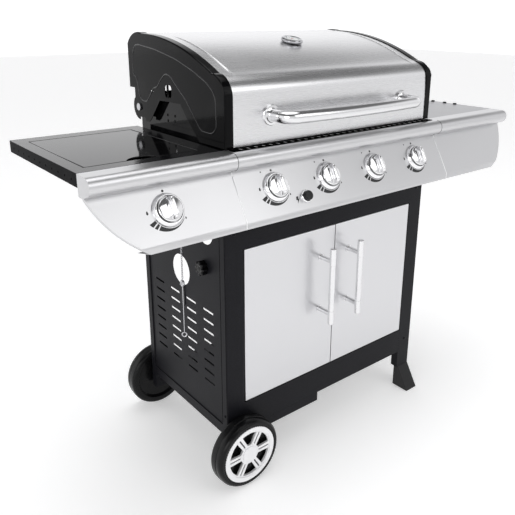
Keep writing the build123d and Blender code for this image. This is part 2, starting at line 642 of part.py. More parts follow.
def warming_rack():
    """The upper wire rack, on four legs against the firebox sides."""
    z = 838
    reach = BOX_HALF - BOX_T - 3
    wires = [rod((-reach, y, z), (reach, y, z), 2) for y in range(222, 306, 14)]
    ends = [rod((x, 215, z), (x, 308, z), 3) for x in (-reach, reach)]
    legs = [rod((x, y, 775), (x, y, z), 2.4) for x in (-reach, reach) for y in (229, 271)]
    return joined([*ends, *legs, *wires])


GREASE_Z = (553.8, 578.0)


def grease_tray():
    """The drip tray, drawn out to the back, with its pull."""
    y = (68, 292)
    tray = pan((-147.9, 147.9), y, GREASE_Z, 1.0, ("+z",))
    pull = pan((-40, 40), (y[1] - 1, y[1] + 22), (GREASE_Z[1] - 12, GREASE_Z[1]), 1.0, ("-z", "+y"))
    return (tray + pull) - rod((0, 180, 550), (0, 180, 560), 6)


def grease_cup():
    """The cup under the tray's drain hole."""
    cup = turned([(0, 0), (30, 0), (36, 38), (34.8, 38), (29, 1.2), (0, 1.2)],
                 Plane(origin=(0, 180, GREASE_Z[0] - 38)))
    return cup


# ---- tables and side burner --------------------------------------------------------------------
def table():
    """A left-hand table: a folded pan whose inner flange runs down the cart's side."""
    x = (-TABLE_OUT, -TABLE_IN)
    top = pan(x, TABLE_Y, (TABLE_BOTTOM, TABLE_TOP), TABLE_T, ("-z",))
    flange = block((-TABLE_IN - TABLE_T, -TABLE_IN), (8, 327), (650, TABLE_BOTTOM + 2))
    return top + flange


CHAIN_X = -327.0
CHAIN_Y = 119.0
CHAIN_TOP = 698.0
CHAIN_LOW = 430.0
HOLE_PITCH = 28.8


def left_table():
    """The enamelled table with the side burner's opening, eleven vent holes and the chain's eye."""
    g = BURNER_LID_GAP
    opening = block((BURNER_LID_X[0] - g, BURNER_LID_X[1] + g), (BURNER_LID_Y[0] - g, BURNER_LID_Y[1] + 2), (700, 740))
    top = table() - opening
    for i in range(11):
        y = 24 + HOLE_PITCH * i
        top -= rod((-TABLE_OUT - 1, y, 716), (-TABLE_OUT + 3, y, 716), 2)
    hanger = block((CHAIN_X - 5, CHAIN_X - 3), (CHAIN_Y - 6, CHAIN_Y + 6), (CHAIN_TOP - 6, TABLE_TOP - 1))
    hanger += block((CHAIN_X + 3, CHAIN_X + 5), (CHAIN_Y - 6, CHAIN_Y + 6), (CHAIN_TOP - 6, TABLE_TOP - 1))
    hanger += rod((CHAIN_X - 5, CHAIN_Y, CHAIN_TOP), (CHAIN_X + 5, CHAIN_Y, CHAIN_TOP), 1.5)
    return top + hanger


HOOK_Y = (112.0, 146.0, 186.0)
HOOK_X = 569.0


def right_table():
    """The plain table, drilled for its three tool hooks."""
    top = mirrored(table())
    for y in HOOK_Y:
        top -= rod((HOOK_X, y, 720), (HOOK_X, y, 740), 2.5 + GAP)
    return top


def tool_hooks():
    """Three hooks hung through the right table's edge, each with a round head on top."""
    hooks = []
    for y in HOOK_Y:
        head = rod((HOOK_X, y, TABLE_TOP), (HOOK_X, y, TABLE_TOP + 3), 5)
        shank = FilletPolyline((HOOK_X, y, TABLE_TOP), (HOOK_X, y, 650), (HOOK_X - 22, y, 650),
                               (HOOK_X - 22, y, 668), radius=8)
        hooks.append(head + sweep(Plane(origin=shank @ 0, z_dir=shank % 0) * Circle(2.5), path=shank))
    return group(hooks)


def burner_lid():
    """The flat lid over the side burner, flush with the table, with its finger notch and pivots."""
    flange = 10.0
    lid = pan(BURNER_LID_X, BURNER_LID_Y, (TABLE_TOP - flange, TABLE_TOP), 1.5, ("-z", "+y"))
    mid = -444.0
    notch_r = 34.0
    lid -= rod((mid, BURNER_LID_Y[0] - 15, 700), (mid, BURNER_LID_Y[0] - 15, 740), notch_r)
    y, z = BURNER_PIVOT
    for x, sign in ((BURNER_LID_X[0] + 1, -1), (BURNER_LID_X[1] - 1, 1)):
        lid += rod((x, y, z), (x + sign * 3.6, y, z), 2.0 - FIT)
    return lid


def burner_bowl():
    """The drip bowl of the side burner, hung under the table's opening."""
    g = BURNER_LID_GAP
    x = (BURNER_LID_X[0] - g - SHEET, BURNER_LID_X[1] + g + SHEET)
    y = (BURNER_LID_Y[0] - g - SHEET, BURNER_LID_Y[1] + 2 + SHEET)
    bowl = pan(x, y, (688, TABLE_TOP - TABLE_T), SHEET, ("+z",))
    bowl -= rod((x[0] - 1, *BURNER_PIVOT), (x[1] + 1, *BURNER_PIVOT), 2.0)
    return bowl - rod(((x[0] + x[1]) / 2, 165, 680), ((x[0] + x[1]) / 2, 165, 695), 14)


def burner_head():
    """The side burner's round head with its mixing tube down to the valve."""
    x = (BURNER_LID_X[0] + BURNER_LID_X[1]) / 2
    head = turned([(0, 2), (26, 2), (36, 8), (36, 13), (32, 16), (0, 16)], Plane(origin=(x, 165, 688)))
    neck = rod((x, 165, 672), (x, 165, 692), 14)
    tube = rod((x, -3, BURNER_Z), (x, 165, BURNER_Z), 11)
    return joined([head, neck, tube]) - rod((x, -4, BURNER_Z), (x, 50, BURNER_Z), 9.5)


def pan_support():
    """The cast grid that a pan stands on over the side burner."""
    mid = (BURNER_LID_X[0] + BURNER_LID_X[1]) / 2
    x = (mid - 92, mid + 92)
    y = (50, 280)
    z = (708, 713)
    frame = block(x, y, z) - block((x[0] + 6, x[1] - 6), (y[0] + 6, y[1] - 6), (z[0] - 1, z[1] + 1))
    bars = [block((x[0] + 1, x[0] + 66), (at - 2.5, at + 2.5), z) for at in (100, 165, 230)]
    bars += [block((x[1] - 66, x[1] - 1), (at - 2.5, at + 2.5), z) for at in (100, 165, 230)]
    bars += [block((mid - 2.5, mid + 2.5), span, z) for span in ((y[0] + 1, 130), (200, y[1] - 1))]
    legs = [block((lx, lx + 6), (ly, ly + 6), (688 + SHEET, z[0] + 1))
            for lx in (x[0], x[1] - 6) for ly in (y[0], y[1] - 6)]
    return joined([frame, *bars, *legs])


# ---- small moving pieces on the left side ------------------------------------------------------
def match_chain():
    """The hanging chain as one slim bar with an eye at each end."""
    eye = rod((CHAIN_X - 2, CHAIN_Y, CHAIN_TOP), (CHAIN_X + 2, CHAIN_Y, CHAIN_TOP), 5)
    bar = rod((CHAIN_X, CHAIN_Y, CHAIN_TOP - 3), (CHAIN_X, CHAIN_Y, CHAIN_LOW + 2), 2)
    pin = rod((CHAIN_X - 4, CHAIN_Y, CHAIN_LOW), (CHAIN_X + 4, CHAIN_Y, CHAIN_LOW), 1.5)
    foot_eye = block((CHAIN_X - 1, CHAIN_X + 1), (CHAIN_Y - 2, CHAIN_Y + 2), (CHAIN_LOW - 2, CHAIN_LOW + 4))
    return joined([eye, bar, foot_eye, pin]) - rod((CHAIN_X - 3, CHAIN_Y, CHAIN_TOP),
                                                   (CHAIN_X + 3, CHAIN_Y, CHAIN_TOP), 1.5 + FIT)


def match_rod():
    """The rod that holds a match, with its finger ring, hung on the chain's pin."""
    eye = block((CHAIN_X - 4, CHAIN_X + 4), (CHAIN_Y - 4, CHAIN_Y + 4), (CHAIN_LOW - 10, CHAIN_LOW + 3.5))
    eye -= block((CHAIN_X - 2.2, CHAIN_X + 2.2), (CHAIN_Y - 5, CHAIN_Y + 5), (CHAIN_LOW - 5, CHAIN_LOW + 5))
    eye -= rod((CHAIN_X - 5, CHAIN_Y, CHAIN_LOW), (CHAIN_X + 5, CHAIN_Y, CHAIN_LOW), 1.5 + FIT)
    bar = rod((CHAIN_X, CHAIN_Y, CHAIN_LOW - 8), (CHAIN_X, CHAIN_Y, 315), 2)
    ring = Plane(origin=(CHAIN_X, CHAIN_Y, 309), z_dir=(1, 0, 0)) * Torus(6, 1.5)
    return joined([eye, bar, ring])


def clamp_knob():
    """The fluted hand knob that tightens the bottle's strap, on its screw through the side panel."""
    y, z = CLAMP_AT
    place = Plane(origin=(-CART_HALF + 1.8, y, z), x_dir=(0, 1, 0), z_dir=(-1, 0, 0))
    knob = extrude(place * Circle(17), amount=16)
    for i in range(8):
        turn = radians(45 * i)
        knob -= extrude(place * Pos(19 * cos(turn), 19 * sin(turn)) * Circle(4.5), amount=16)
    screw = rod((-CART_HALF - 2, y, z), (-CART_HALF + 40, y, z), PIN_R)
    return knob + screw


# ---- build -------------------------------------------------------------------------------------
def build():
    """Every node of the grill by name."""
    front_wheel = wheel_plane(FRONT_WHEEL_Y, -1)
    rear_wheel = wheel_plane(REAR_WHEEL_Y, 1)
    nodes = {
        "left_side_panel": side_panel(LEFT_LEG_BOTTOM, True, True),
        "right_side_panel": mirrored(side_panel(FOOT_TOP, False, False)),
        "front_top_rail": top_rail(),
        "front_bottom_rail": front_rail(LOW_RAIL, LOW_RAIL[1]),
        "bottom_shelf": bottom_shelf(),
        "bottle_tray": bottle_tray(),
        "rear_brace": rear_brace(),
        "wheel_axle": wheel_axle(),
        "front_foot": foot(0, -36, 14),
        "rear_foot": foot(CART_DEPTH, CART_DEPTH + 36, CART_DEPTH - 14),
        "front_tyre": tyre(front_wheel),
        "front_hub_cap": hub_cap(front_wheel),
        "rear_tyre": tyre(rear_wheel),
        "rear_hub_cap": hub_cap(rear_wheel),
        "left_door": left_door(),
        "right_door": mirrored(left_door()),
        "left_door_handle": left_door_handle(),
        "right_door_handle": mirrored(left_door_handle()),
        "left_fascia": left_fascia() - panel_holes(KNOB_X[:1], False)[0],
        "center_fascia": centre_fascia(),
        "right_fascia": mirrored(left_fascia()),
        "gas_manifold": manifold(),
        "knob_bezels": group([knob_bezel(x) for x in KNOB_X]),
        "igniter_collar": igniter_collar(),
        "igniter_button": igniter_button(),
        "firebox": firebox(),
        "firebox_brackets": firebox_brackets(),
        "main_burners": main_burners(),
        "flame_tamers": flame_tamers(),
        "left_grate": cooking_grate(),
        "right_grate": mirrored(cooking_grate()),
        "warming_rack": warming_rack(),
        "grease_tray": grease_tray(),
        "grease_cup": grease_cup(),
        "lid_skin": lid_skin(),
        "lid_left_end": lid_left_end(),
        "lid_right_end": mirrored(lid_left_end()),
        "lid_handle": lid_handle(),
        "thermometer": thermometer(),
        "lid_hinge_pins": lid_pins(),
        "left_table": left_table(),
        "right_table": right_table(),
        "tool_hooks": tool_hooks(),
        "side_burner_lid": burner_lid(),
        "side_burner_bowl": burner_bowl(),
        "side_burner_head": burner_head(),
        "pan_support": pan_support(),
        "match_chain": match_chain(),
        "match_rod": match_rod(),
        "clamp_knob": clamp_knob(),
    }
    for i, x in enumerate(KNOB_X, start=1):
        nodes[f"valve_stem_{i}"] = valve_stem(x)
        nodes[f"control_knob_{i}"] = control_knob(x)
    return nodes


for name, shape in build().items():
    save(name, shape)
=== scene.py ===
"""Looks of the gas barbecue grill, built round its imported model.

Every length below is written in millimetres in the cart's own axes: X from the cart's middle to the right,
Y from the cart's front face to the back, Z up from the ground. Shop.at() turns such a place into metres in
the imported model's frame.
"""

import json
import logging
from dataclasses import dataclass, field
from enum import Enum
from math import cos, pi, radians, sin, tau
from typing import Callable, Iterable, Sequence

import bmesh
import bpy
from mathutils import Matrix, Vector

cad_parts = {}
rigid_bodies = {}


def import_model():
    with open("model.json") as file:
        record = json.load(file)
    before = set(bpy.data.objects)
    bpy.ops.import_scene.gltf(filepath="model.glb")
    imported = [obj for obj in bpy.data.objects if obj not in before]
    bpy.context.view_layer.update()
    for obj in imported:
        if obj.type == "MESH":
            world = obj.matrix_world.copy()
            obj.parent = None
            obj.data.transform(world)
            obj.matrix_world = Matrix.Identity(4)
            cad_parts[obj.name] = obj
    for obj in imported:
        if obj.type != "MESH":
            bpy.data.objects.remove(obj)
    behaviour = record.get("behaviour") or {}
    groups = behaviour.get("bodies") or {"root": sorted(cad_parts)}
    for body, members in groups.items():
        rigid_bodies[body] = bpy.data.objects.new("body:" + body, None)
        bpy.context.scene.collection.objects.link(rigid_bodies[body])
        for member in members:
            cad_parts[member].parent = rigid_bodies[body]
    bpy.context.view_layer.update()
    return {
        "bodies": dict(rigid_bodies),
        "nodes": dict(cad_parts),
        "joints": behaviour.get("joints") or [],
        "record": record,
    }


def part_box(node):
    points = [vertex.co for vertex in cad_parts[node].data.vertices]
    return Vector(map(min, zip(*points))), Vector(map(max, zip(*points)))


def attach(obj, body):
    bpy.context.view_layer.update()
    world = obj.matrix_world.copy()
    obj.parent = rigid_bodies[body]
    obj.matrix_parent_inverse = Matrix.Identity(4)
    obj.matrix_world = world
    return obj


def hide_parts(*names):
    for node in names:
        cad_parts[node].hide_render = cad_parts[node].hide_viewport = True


log = logging.getLogger("grill")
MM = 0.001
ON_AXIS = 1e-6                # a radius below this, in millimetres, lies on the axis
SAME = 1e-5                   # two places nearer than this, in metres, count as one
Point2 = tuple[float, float]
Point3 = tuple[float, float, float]
Colour = tuple[float, float, float]
RIGHT = Vector((1, 0, 0))


# ---- shader maths ------------------------------------------------------------------------------
class Value:
    """A number in a shader tree that can be used in Python arithmetic."""

    def __init__(self, paint: "Paint", socket: bpy.types.NodeSocket) -> None:
        """Keep the tree and the socket that the number comes from."""
        self.paint = paint
        self.socket = socket

    def _math(self, operation: str, other: "Value | float", swapped: bool = False) -> "Value":
        """Add one Math node.

        Args:
            operation: the node's operation.
            other: the second number.
            swapped: true when the other number comes first.
        Returns:
            The result as a Value.
        """
        pair = (other, self) if swapped else (self, other)
        node = self.paint.node("ShaderNodeMath", {"operation": operation}, pair)
        return Value(self.paint, node.outputs[0])

    def __add__(self, other: "Value | float") -> "Value":
        """Sum."""
        return self._math("ADD", other)

    __radd__ = __add__

    def __mul__(self, other: "Value | float") -> "Value":
        """Product."""
        return self._math("MULTIPLY", other)

    __rmul__ = __mul__

    def __sub__(self, other: "Value | float") -> "Value":
        """Difference."""
        return self._math("SUBTRACT", other)

    def __rsub__(self, other: "Value | float") -> "Value":
        """Difference with this value second."""
        return self._math("SUBTRACT", other, swapped=True)

    def __truediv__(self, other: "Value | float") -> "Value":
        """Quotient."""
        return self._math("DIVIDE", other)

    def above(self, edge: float, width: float) -> "Value":
        """A soft step from 0 to 1 that starts at edge and is done after width."""
        node = self.paint.node("ShaderNodeMapRange", {"clamp": True}, (self, edge, edge + width, 0.0, 1.0))
        return Value(self.paint, node.outputs[0])


class Paint:
    """One material under construction."""

    def __init__(self, name: str) -> None:
        """Start a material with its Principled shader."""
        self.material = bpy.data.materials.new(name)
        self.material.use_nodes = True
        self.tree = self.material.node_tree
        self.shader = self.tree.nodes["Principled BSDF"]

    def node(self, kind: str, settings: dict[str, object], inputs: Sequence[object]) -> bpy.types.Node:
        """Add any node.

        Args:
            kind: the node's type.
            settings: properties that are set first.
            inputs: a value or a link for each input in turn; None leaves the input alone.
        Returns:
            The new node.
        """
        made = self.tree.nodes.new(kind)
        for key, value in settings.items():
            setattr(made, key, value)
        for socket, value in zip(made.inputs, inputs):
            self.feed(socket, value)
        return made

    def feed(self, socket: bpy.types.NodeSocket, value: object) -> None:
        """Link a socket or set its value."""
        if value is None:
            return
        if isinstance(value, Value):
            self.tree.links.new(value.socket, socket)
        elif isinstance(value, bpy.types.NodeSocket):
            self.tree.links.new(value, socket)
        else:
            socket.default_value = value

    def set(self, **sockets: object) -> None:
        """Set or link the shader's sockets, their spaces written as underscores."""
        for key, value in sockets.items():
            self.feed(self.shader.inputs[key.replace("_", " ")], value)

    def place(self, stretch: Point3) -> bpy.types.NodeSocket:
        """Object coordinates, stretched per axis."""
        coordinates = self.node("ShaderNodeTexCoord", {}, ())
        mapping = self.node("ShaderNodeMapping", {}, ())
        self.tree.links.new(coordinates.outputs["Object"], mapping.inputs["Vector"])
        mapping.inputs["Scale"].default_value = stretch
        return mapping.outputs[0]

    def noise(self, scale: float, detail: float = 2.0, stretch: Point3 = (1, 1, 1)) -> Value:
        """Noise between 0 and 1 at so many cells to the metre."""
        made = self.node("ShaderNodeTexNoise", {"noise_dimensions": "3D"}, ())
        self.tree.links.new(self.place(stretch), made.inputs["Vector"])
        made.inputs["Scale"].default_value = scale
        made.inputs["Detail"].default_value = detail
        return Value(self, made.outputs["Fac"])

    def blend(self, factor: Value, low: Colour, high: Colour) -> bpy.types.NodeSocket:
        """A colour between two others."""
        mix = self.node("ShaderNodeMix", {"data_type": "RGBA"}, ())
        self.feed(mix.inputs[0], factor)
        mix.inputs[6].default_value = (*low, 1)
        mix.inputs[7].default_value = (*high, 1)
        return mix.outputs[2]

    def bump(self, height: Value, distance: float) -> None:
        """Feed the shader's normal from a height, in metres."""
        made = self.node("ShaderNodeBump", {}, ())
        made.inputs["Strength"].default_value = 1.0
        made.inputs["Distance"].default_value = distance
        self.feed(made.inputs["Height"], height)
        self.tree.links.new(made.outputs[0], self.shader.inputs["Normal"])


# ---- finishes ----------------------------------------------------------------------------------
class Grain(Enum):
    """Which way a metal is brushed: how noise is squeezed along X, Y and Z."""

    ALONG_X = (0.012, 1.0, 1.0)
    NONE = (1.0, 1.0, 1.0)


@dataclass(frozen=True)
class Steel:
    """Bare metal, brushed or polished."""

    name: str
    colour: Colour
    roughness: float
    grain: Grain = Grain.NONE
    lines: float = 900.0
    depth: float = 0.000012
    smudge: float = 0.06

    def material(self) -> bpy.types.Material:
        """Fine lines that blur reflections across them, with faint handling marks."""
        paint = Paint(self.name)
        lines = paint.noise(self.lines, 3.0, self.grain.value)
        smear = paint.noise(7.0, 3.0)
        dark = tuple(c * 0.95 for c in self.colour)
        paint.set(Metallic=1.0, Base_Color=paint.blend(lines * 0.5 + smear * 0.5, dark, self.colour))
        paint.set(Roughness=(lines - 0.5) * 0.07 + smear * self.smudge + (self.roughness - self.smudge / 2))
        if self.grain is not Grain.NONE:
            paint.bump(lines, self.depth)
        return paint.material


@dataclass(frozen=True)
class Enamel:
    """Gloss baked enamel with a faint orange peel."""

    name: str
    colour: Colour
    roughness: float = 0.07
    coat: float = 0.1
    specular: float = 0.3

    def material(self) -> bpy.types.Material:
        """A deep colour under a clear coat, with dust in broad patches."""
        paint = Paint(self.name)
        peel = paint.noise(260.0, 2.0)
        dust = paint.noise(14.0, 4.0).above(0.52, 0.3)
        light = tuple(c + 0.012 for c in self.colour)
        paint.set(Base_Color=paint.blend(dust, self.colour, light))
        paint.set(Coat_Weight=self.coat, Coat_Roughness=0.04)
        paint.set(Specular_IOR_Level=self.specular)
        paint.set(Roughness=dust * 0.08 + self.roughness)
        paint.bump(peel, 0.00003)
        return paint.material


@dataclass(frozen=True)
class PowderCoat:
    """Black powder coat with a fine sand texture."""

    name: str
    colour: Colour
    roughness: float = 0.42
    grains: float = 700.0

    def material(self) -> bpy.types.Material:
        """A speckle of two greys over a fine bump."""
        paint = Paint(self.name)
        sand = paint.noise(self.grains, 2.0)
        patch = paint.noise(9.0, 3.0)
        light = tuple(c * 2.2 + 0.003 for c in self.colour)
        paint.set(Base_Color=paint.blend(sand.above(0.45, 0.25) * 0.5, self.colour, light))
        paint.set(Roughness=patch * 0.12 + (self.roughness - 0.06) + (sand - 0.5) * 0.1)
        paint.set(Specular_IOR_Level=0.1)
        paint.bump(sand, 0.00008)
        return paint.material


@dataclass(frozen=True)
class Moulded:
    """Plastic or paint with a light grain."""

    name: str
    colour: Colour
    roughness: float
    metallic: float = 0.0
    grains: float = 420.0
    depth: float = 0.00004
    specular: float = 0.5

    def material(self) -> bpy.types.Material:
        """An even colour with a soft grain and scuffed patches."""
        paint = Paint(self.name)
        grain = paint.noise(self.grains, 2.0)
        scuff = paint.noise(22.0, 4.0).above(0.55, 0.25)
        worn = tuple(min(1.0, c * 1.25 + 0.008) for c in self.colour)
        paint.set(Base_Color=paint.blend(scuff * 0.5, self.colour, worn), Metallic=self.metallic)
        paint.set(Specular_IOR_Level=self.specular)
        paint.set(Roughness=(grain - 0.5) * 0.08 + scuff * 0.08 + self.roughness)
        paint.bump(grain, self.depth)
        return paint.material


@dataclass(frozen=True)
class CastIron:
    """Matt black enamelled cast iron."""

    name: str
    colour: Colour

    def material(self) -> bpy.types.Material:
        """A coarse cast skin."""
        paint = Paint(self.name)
        skin = paint.noise(320.0, 4.0)
        paint.set(Base_Color=paint.blend(skin, self.colour, tuple(c * 2.4 for c in self.colour)))
        paint.set(Roughness=skin * 0.2 + 0.5, Metallic=0.2)
        paint.bump(skin, 0.0003)
        return paint.material


@dataclass(frozen=True)
class Glass:
    """Thin clear glass over a dial."""

    name: str

    def material(self) -> bpy.types.Material:
        """Mostly clear, with a gloss surface."""
        paint = Paint(self.name)
        smear = paint.noise(60.0, 2.0)
        paint.set(Base_Color=(0.9, 0.93, 0.95, 1), Alpha=0.22, Roughness=smear * 0.05 + 0.02)
        return paint.material


FINISHES: dict[str, object] = {
    "cart_black": PowderCoat("cart powder coat", (0.0075, 0.0075, 0.0095)),
    "enamel_black": Enamel("black enamel", (0.004, 0.004, 0.0045), 0.07, 0.0, 0.2),
    "stainless": Steel("brushed stainless", (0.78, 0.78, 0.79), 0.27, Grain.ALONG_X),
    "fascia_steel": Steel("satin fascia steel", (0.65, 0.65, 0.66), 0.33, Grain.ALONG_X, 1400.0, 0.00001),
    "chrome": Steel("bright chrome", (0.88, 0.88, 0.89), 0.07, smudge=0.04),
    "polished_steel": Steel("polished tube", (0.8, 0.8, 0.81), 0.14, Grain.ALONG_X, 900.0, 0.000004),
    "table_grey": Moulded("silver table paint", (0.32, 0.32, 0.335), 0.3, 0.7, 900.0, 0.00001),
    "tyre_black": Moulded("wheel black", (0.005, 0.005, 0.0055), 0.24, 0.0, 500.0, 0.00003, 0.2),
    "hub_silver": Moulded("hub cap silver", (0.86, 0.86, 0.87), 0.34, 0.35, 600.0, 0.00001),
    "plastic_black": Moulded("black plastic", (0.01, 0.01, 0.011), 0.4, 0.0, 500.0, 0.00005, 0.3),
    "cast_iron": CastIron("cast iron", (0.012, 0.012, 0.013)),
    "burner_steel": Steel("plain steel", (0.5, 0.49, 0.48), 0.4),
    "gas_brass": Steel("machined brass", (0.72, 0.55, 0.28), 0.28),
    "zinc_steel": Steel("zinc plate", (0.6, 0.6, 0.62), 0.3),
}
LID_ENAMEL = Enamel("lid end enamel", (0.002, 0.002, 0.0024), 0.1, 0.0, 0.1)
# Lighter than the lid end's enamel so that the bead reads as a light line: painted highlight.
BEAD_HIGHLIGHT_ENAMEL = Enamel("bead enamel with painted highlight", (0.01, 0.01, 0.011), 0.2, 0.0, 0.45)
TABLE_ENAMEL = Enamel("table enamel", (0.004, 0.004, 0.0048), 0.14, 0.0, 0.2)
# A darker copy of the table's enamel with almost no reflection, for its upright faces: painted shade.
SHADED_EDGE_ENAMEL = Enamel("table edge enamel in painted shade", (0.003, 0.003, 0.0036), 0.3, 0.0, 0.01)
# Near-white plastic strips down the fascia seams: a painted highlight where the folded edges catch the light.
FOLD_HIGHLIGHT = Moulded("painted fold highlight", (0.95, 0.95, 0.95), 0.3, 0.0, 600.0, 0.00001)
KNOB_PLASTIC = Moulded("lobed knob plastic", (0.003, 0.003, 0.0035), 0.25, 0.0, 500.0, 0.00003, 0.25)
CASE_STEEL = Steel("gauge case steel", (0.52, 0.52, 0.54), 0.16)
DOOR_STEEL = Steel("door stainless", (0.68, 0.68, 0.695), 0.3, Grain.ALONG_X)
# Dark strips laid in the bottoms of the hub caps' shallow spoke grooves: painted shade.
GROOVE_SHADE = Moulded("painted spoke groove shade", (0.05, 0.05, 0.055), 0.5, 0.2, 500.0, 0.00002)
# Flat black with no reflection: the dark joints' own colour, and on the front lip also a painted shadow under
# the lid.
SEAM_BLACK_AND_SHADE = Moulded("seam black and painted shade", (0.001, 0.001, 0.001), 0.7, 0.0, 500.0, 0.00002, 0.0)
DIAL = Moulded("dial face", (0.8, 0.8, 0.78), 0.35, 0.0, 300.0, 0.00001)
PRINT = Moulded("black print", (0.01, 0.01, 0.011), 0.4, 0.0, 400.0, 0.00001)
NEEDLE = Moulded("needle red", (0.5, 0.03, 0.02), 0.4, 0.0, 400.0, 0.00001)
GLASS = Glass("dial glass")


class Wardrobe:
    """Makes each finish once."""

    def __init__(self) -> None:
        """Start with no materials."""
        self.made: dict[str, bpy.types.Material] = {}

    def get(self, finish: object) -> bpy.types.Material:
        """The material of a finish."""
        key = finish.name
        if key not in self.made:
            self.made[key] = finish.material()
        return self.made[key]


# ---- shop --------------------------------------------------------------------------------------
def arc(a: Point2, b: Point2, c: Point2, steps: int) -> list[Point2]:
    """Points on the circle through a, b and c, from a to c.

    Args:
        a: first point.
        b: a point between the two others.
        c: last point.
        steps: number of spans.
    Returns:
        steps + 1 points.
    """
    (ax, ay), (bx, by), (cx, cy) = a, b, c
    d = 2 * (ax * (by - cy) + bx * (cy - ay) + cx * (ay - by))
    aa, bb, cc = (x * x + y * y for x, y in (a, b, c))
    ux = (aa * (by - cy) + bb * (cy - ay) + cc * (ay - by)) / d
    uy = (aa * (cx - bx) + bb * (ax - cx) + cc * (bx - ax)) / d
    centre = Vector((ux, uy))
    start, end = Vector(a) - centre, Vector(c) - centre
    turn = start.angle_signed(end)
    middle = start.angle_signed(Vector(b) - centre)
    if middle * turn < 0:
        turn -= tau if turn > 0 else -tau
    points = []
    for i in range(steps + 1):
        angle = -turn * i / steps
        x = start.x * cos(angle) - start.y * sin(angle)
        y = start.x * sin(angle) + start.y * cos(angle)
        points.append((centre.x + x, centre.y + y))
    return points


def rounded(points: Sequence[Point2], radius: float, steps: int = 6) -> list[Point2]:
    """A closed outline with its corners rounded by quadratic curves."""
    out: list[Point2] = []
    count = len(points)
    for i in range(count):
        before, here, after = (Vector(points[(i + k) % count]) for k in (-1, 0, 1))
        first = here + (before - here).normalized() * min(radius, (before - here).length * 0.45)
        last = here + (after - here).normalized() * min(radius, (after - here).length * 0.45)
        for k in range(steps + 1):
            t = k / steps
            point = first * (1 - t) ** 2 + here * 2 * t * (1 - t) + last * t * t
            out.append((point.x, point.y))
    return out


def inset(points: Sequence[Point2], by: float) -> list[Point2]:
    """An open line moved to its left by a distance, point by point along its mitres."""
    line = []
    for i, here in enumerate(points):
        before = Vector(points[max(i - 1, 0)])
        after = Vector(points[min(i + 1, len(points) - 1)])
        along = (after - before).normalized()
        line.append((here[0] - along.y * by, here[1] + along.x * by))
    return line


def circle(radius: float, height: float, sides: int) -> list[Point3]:
    """Points round Z at a height."""
    return [(radius * cos(tau * i / sides), radius * sin(tau * i / sides), height) for i in range(sides)]


def loft(sections: Sequence[Sequence[Point3]], closed: bool = False) -> bmesh.types.BMesh:
    """A skin through rings of equally many points, where a ring of one point is a tip.

    Args:
        sections: the rings in order.
        closed: true when the last ring joins the first; otherwise the end rings are capped.
    Returns:
        The new mesh.
    """
    bm = bmesh.new()
    around = max(len(section) for section in sections)
    rings = []
    for section in sections:
        ring = [bm.verts.new(point) for point in section]
        rings.append(ring * around if len(ring) == 1 else ring)
    for low, high in zip(rings, rings[1:] + (rings[:1] if closed else [])):
        for i in range(around):
            k = (i + 1) % around
            corners = list(dict.fromkeys((low[i], low[k], high[k], high[i])))
            if len(corners) > 2:
                bm.faces.new(corners)
    if not closed:
        for section, cap in ((sections[0], rings[0][::-1]), (sections[-1], rings[-1])):
            if len(section) > 1:
                bm.faces.new(cap)
    return bm


def lathe(profile: Sequence[Point2], segments: int = 48) -> bmesh.types.BMesh:
    """Turn (radius, height) points about Z into a closed body; points on the axis close it."""
    sections = [circle(r, h, segments) if r > ON_AXIS else [(0.0, 0.0, h)] for r, h in profile]
    return loft(sections, closed=min(profile[0][0], profile[-1][0]) > ON_AXIS)


def tube(path: Sequence[Point3], radius: float, sides: int = 20, closed: bool = False) -> bmesh.types.BMesh:
    """A round bar along a path, in the path's units, with flat ends."""
    points = [Vector(p) for p in path]
    sections = []
    normal = None
    last = len(points) - 1
    for i, here in enumerate(points):
        before = points[i - 1] if closed else points[max(i - 1, 0)]
        after = points[(i + 1) % (last + 1)] if closed else points[min(i + 1, last)]
        along = (after - before).normalized()
        if normal is None:
            normal = along.orthogonal().normalized()
        normal = (normal - along * normal.dot(along)).normalized()
        side = along.cross(normal)
        sections.append([here + normal * x + side * y for x, y, _ in circle(radius, 0.0, sides)])
    return loft(sections, closed)


def slab(outlines: Iterable[Sequence[Point2]], low: float, high: float) -> bmesh.types.BMesh:
    """Flat outlines given a thickness from low to high along Z."""
    return join([loft([[(x, y, z) for x, y in outline] for z in (low, high)]) for outline in outlines])


def rectangle(x: Point2, y: Point2) -> list[Point2]:
    """A rectangle's outline from its two spans."""
    return [(x[0], y[0]), (x[1], y[0]), (x[1], y[1]), (x[0], y[1])]


def join(parts: Sequence[bmesh.types.BMesh]) -> bmesh.types.BMesh:
    """Several meshes in one."""
    whole = bmesh.new()
    for part in parts:
        mesh = bpy.data.meshes.new("part")
        part.to_mesh(mesh)
        part.free()
        whole.from_mesh(mesh)
        bpy.data.meshes.remove(mesh)
    return whole


def moved(bm: bmesh.types.BMesh, matrix: Matrix) -> bmesh.types.BMesh:
    """The same mesh, moved."""
    bmesh.ops.transform(bm, matrix=matrix, verts=bm.verts)
    return bm


def aimed(x: Vector, z: Vector) -> Matrix:
    """The turn that gives local X and local Z these directions."""
    return Matrix((x, z.cross(x), z)).transposed().to_4x4()


def placed(origin: Vector, turn: Matrix) -> Matrix:
    """From a shape's own millimetres, turned and moved to a place, to metres in the frame."""
    return Matrix.Translation(origin) @ turn @ Matrix.Scale(MM, 4)


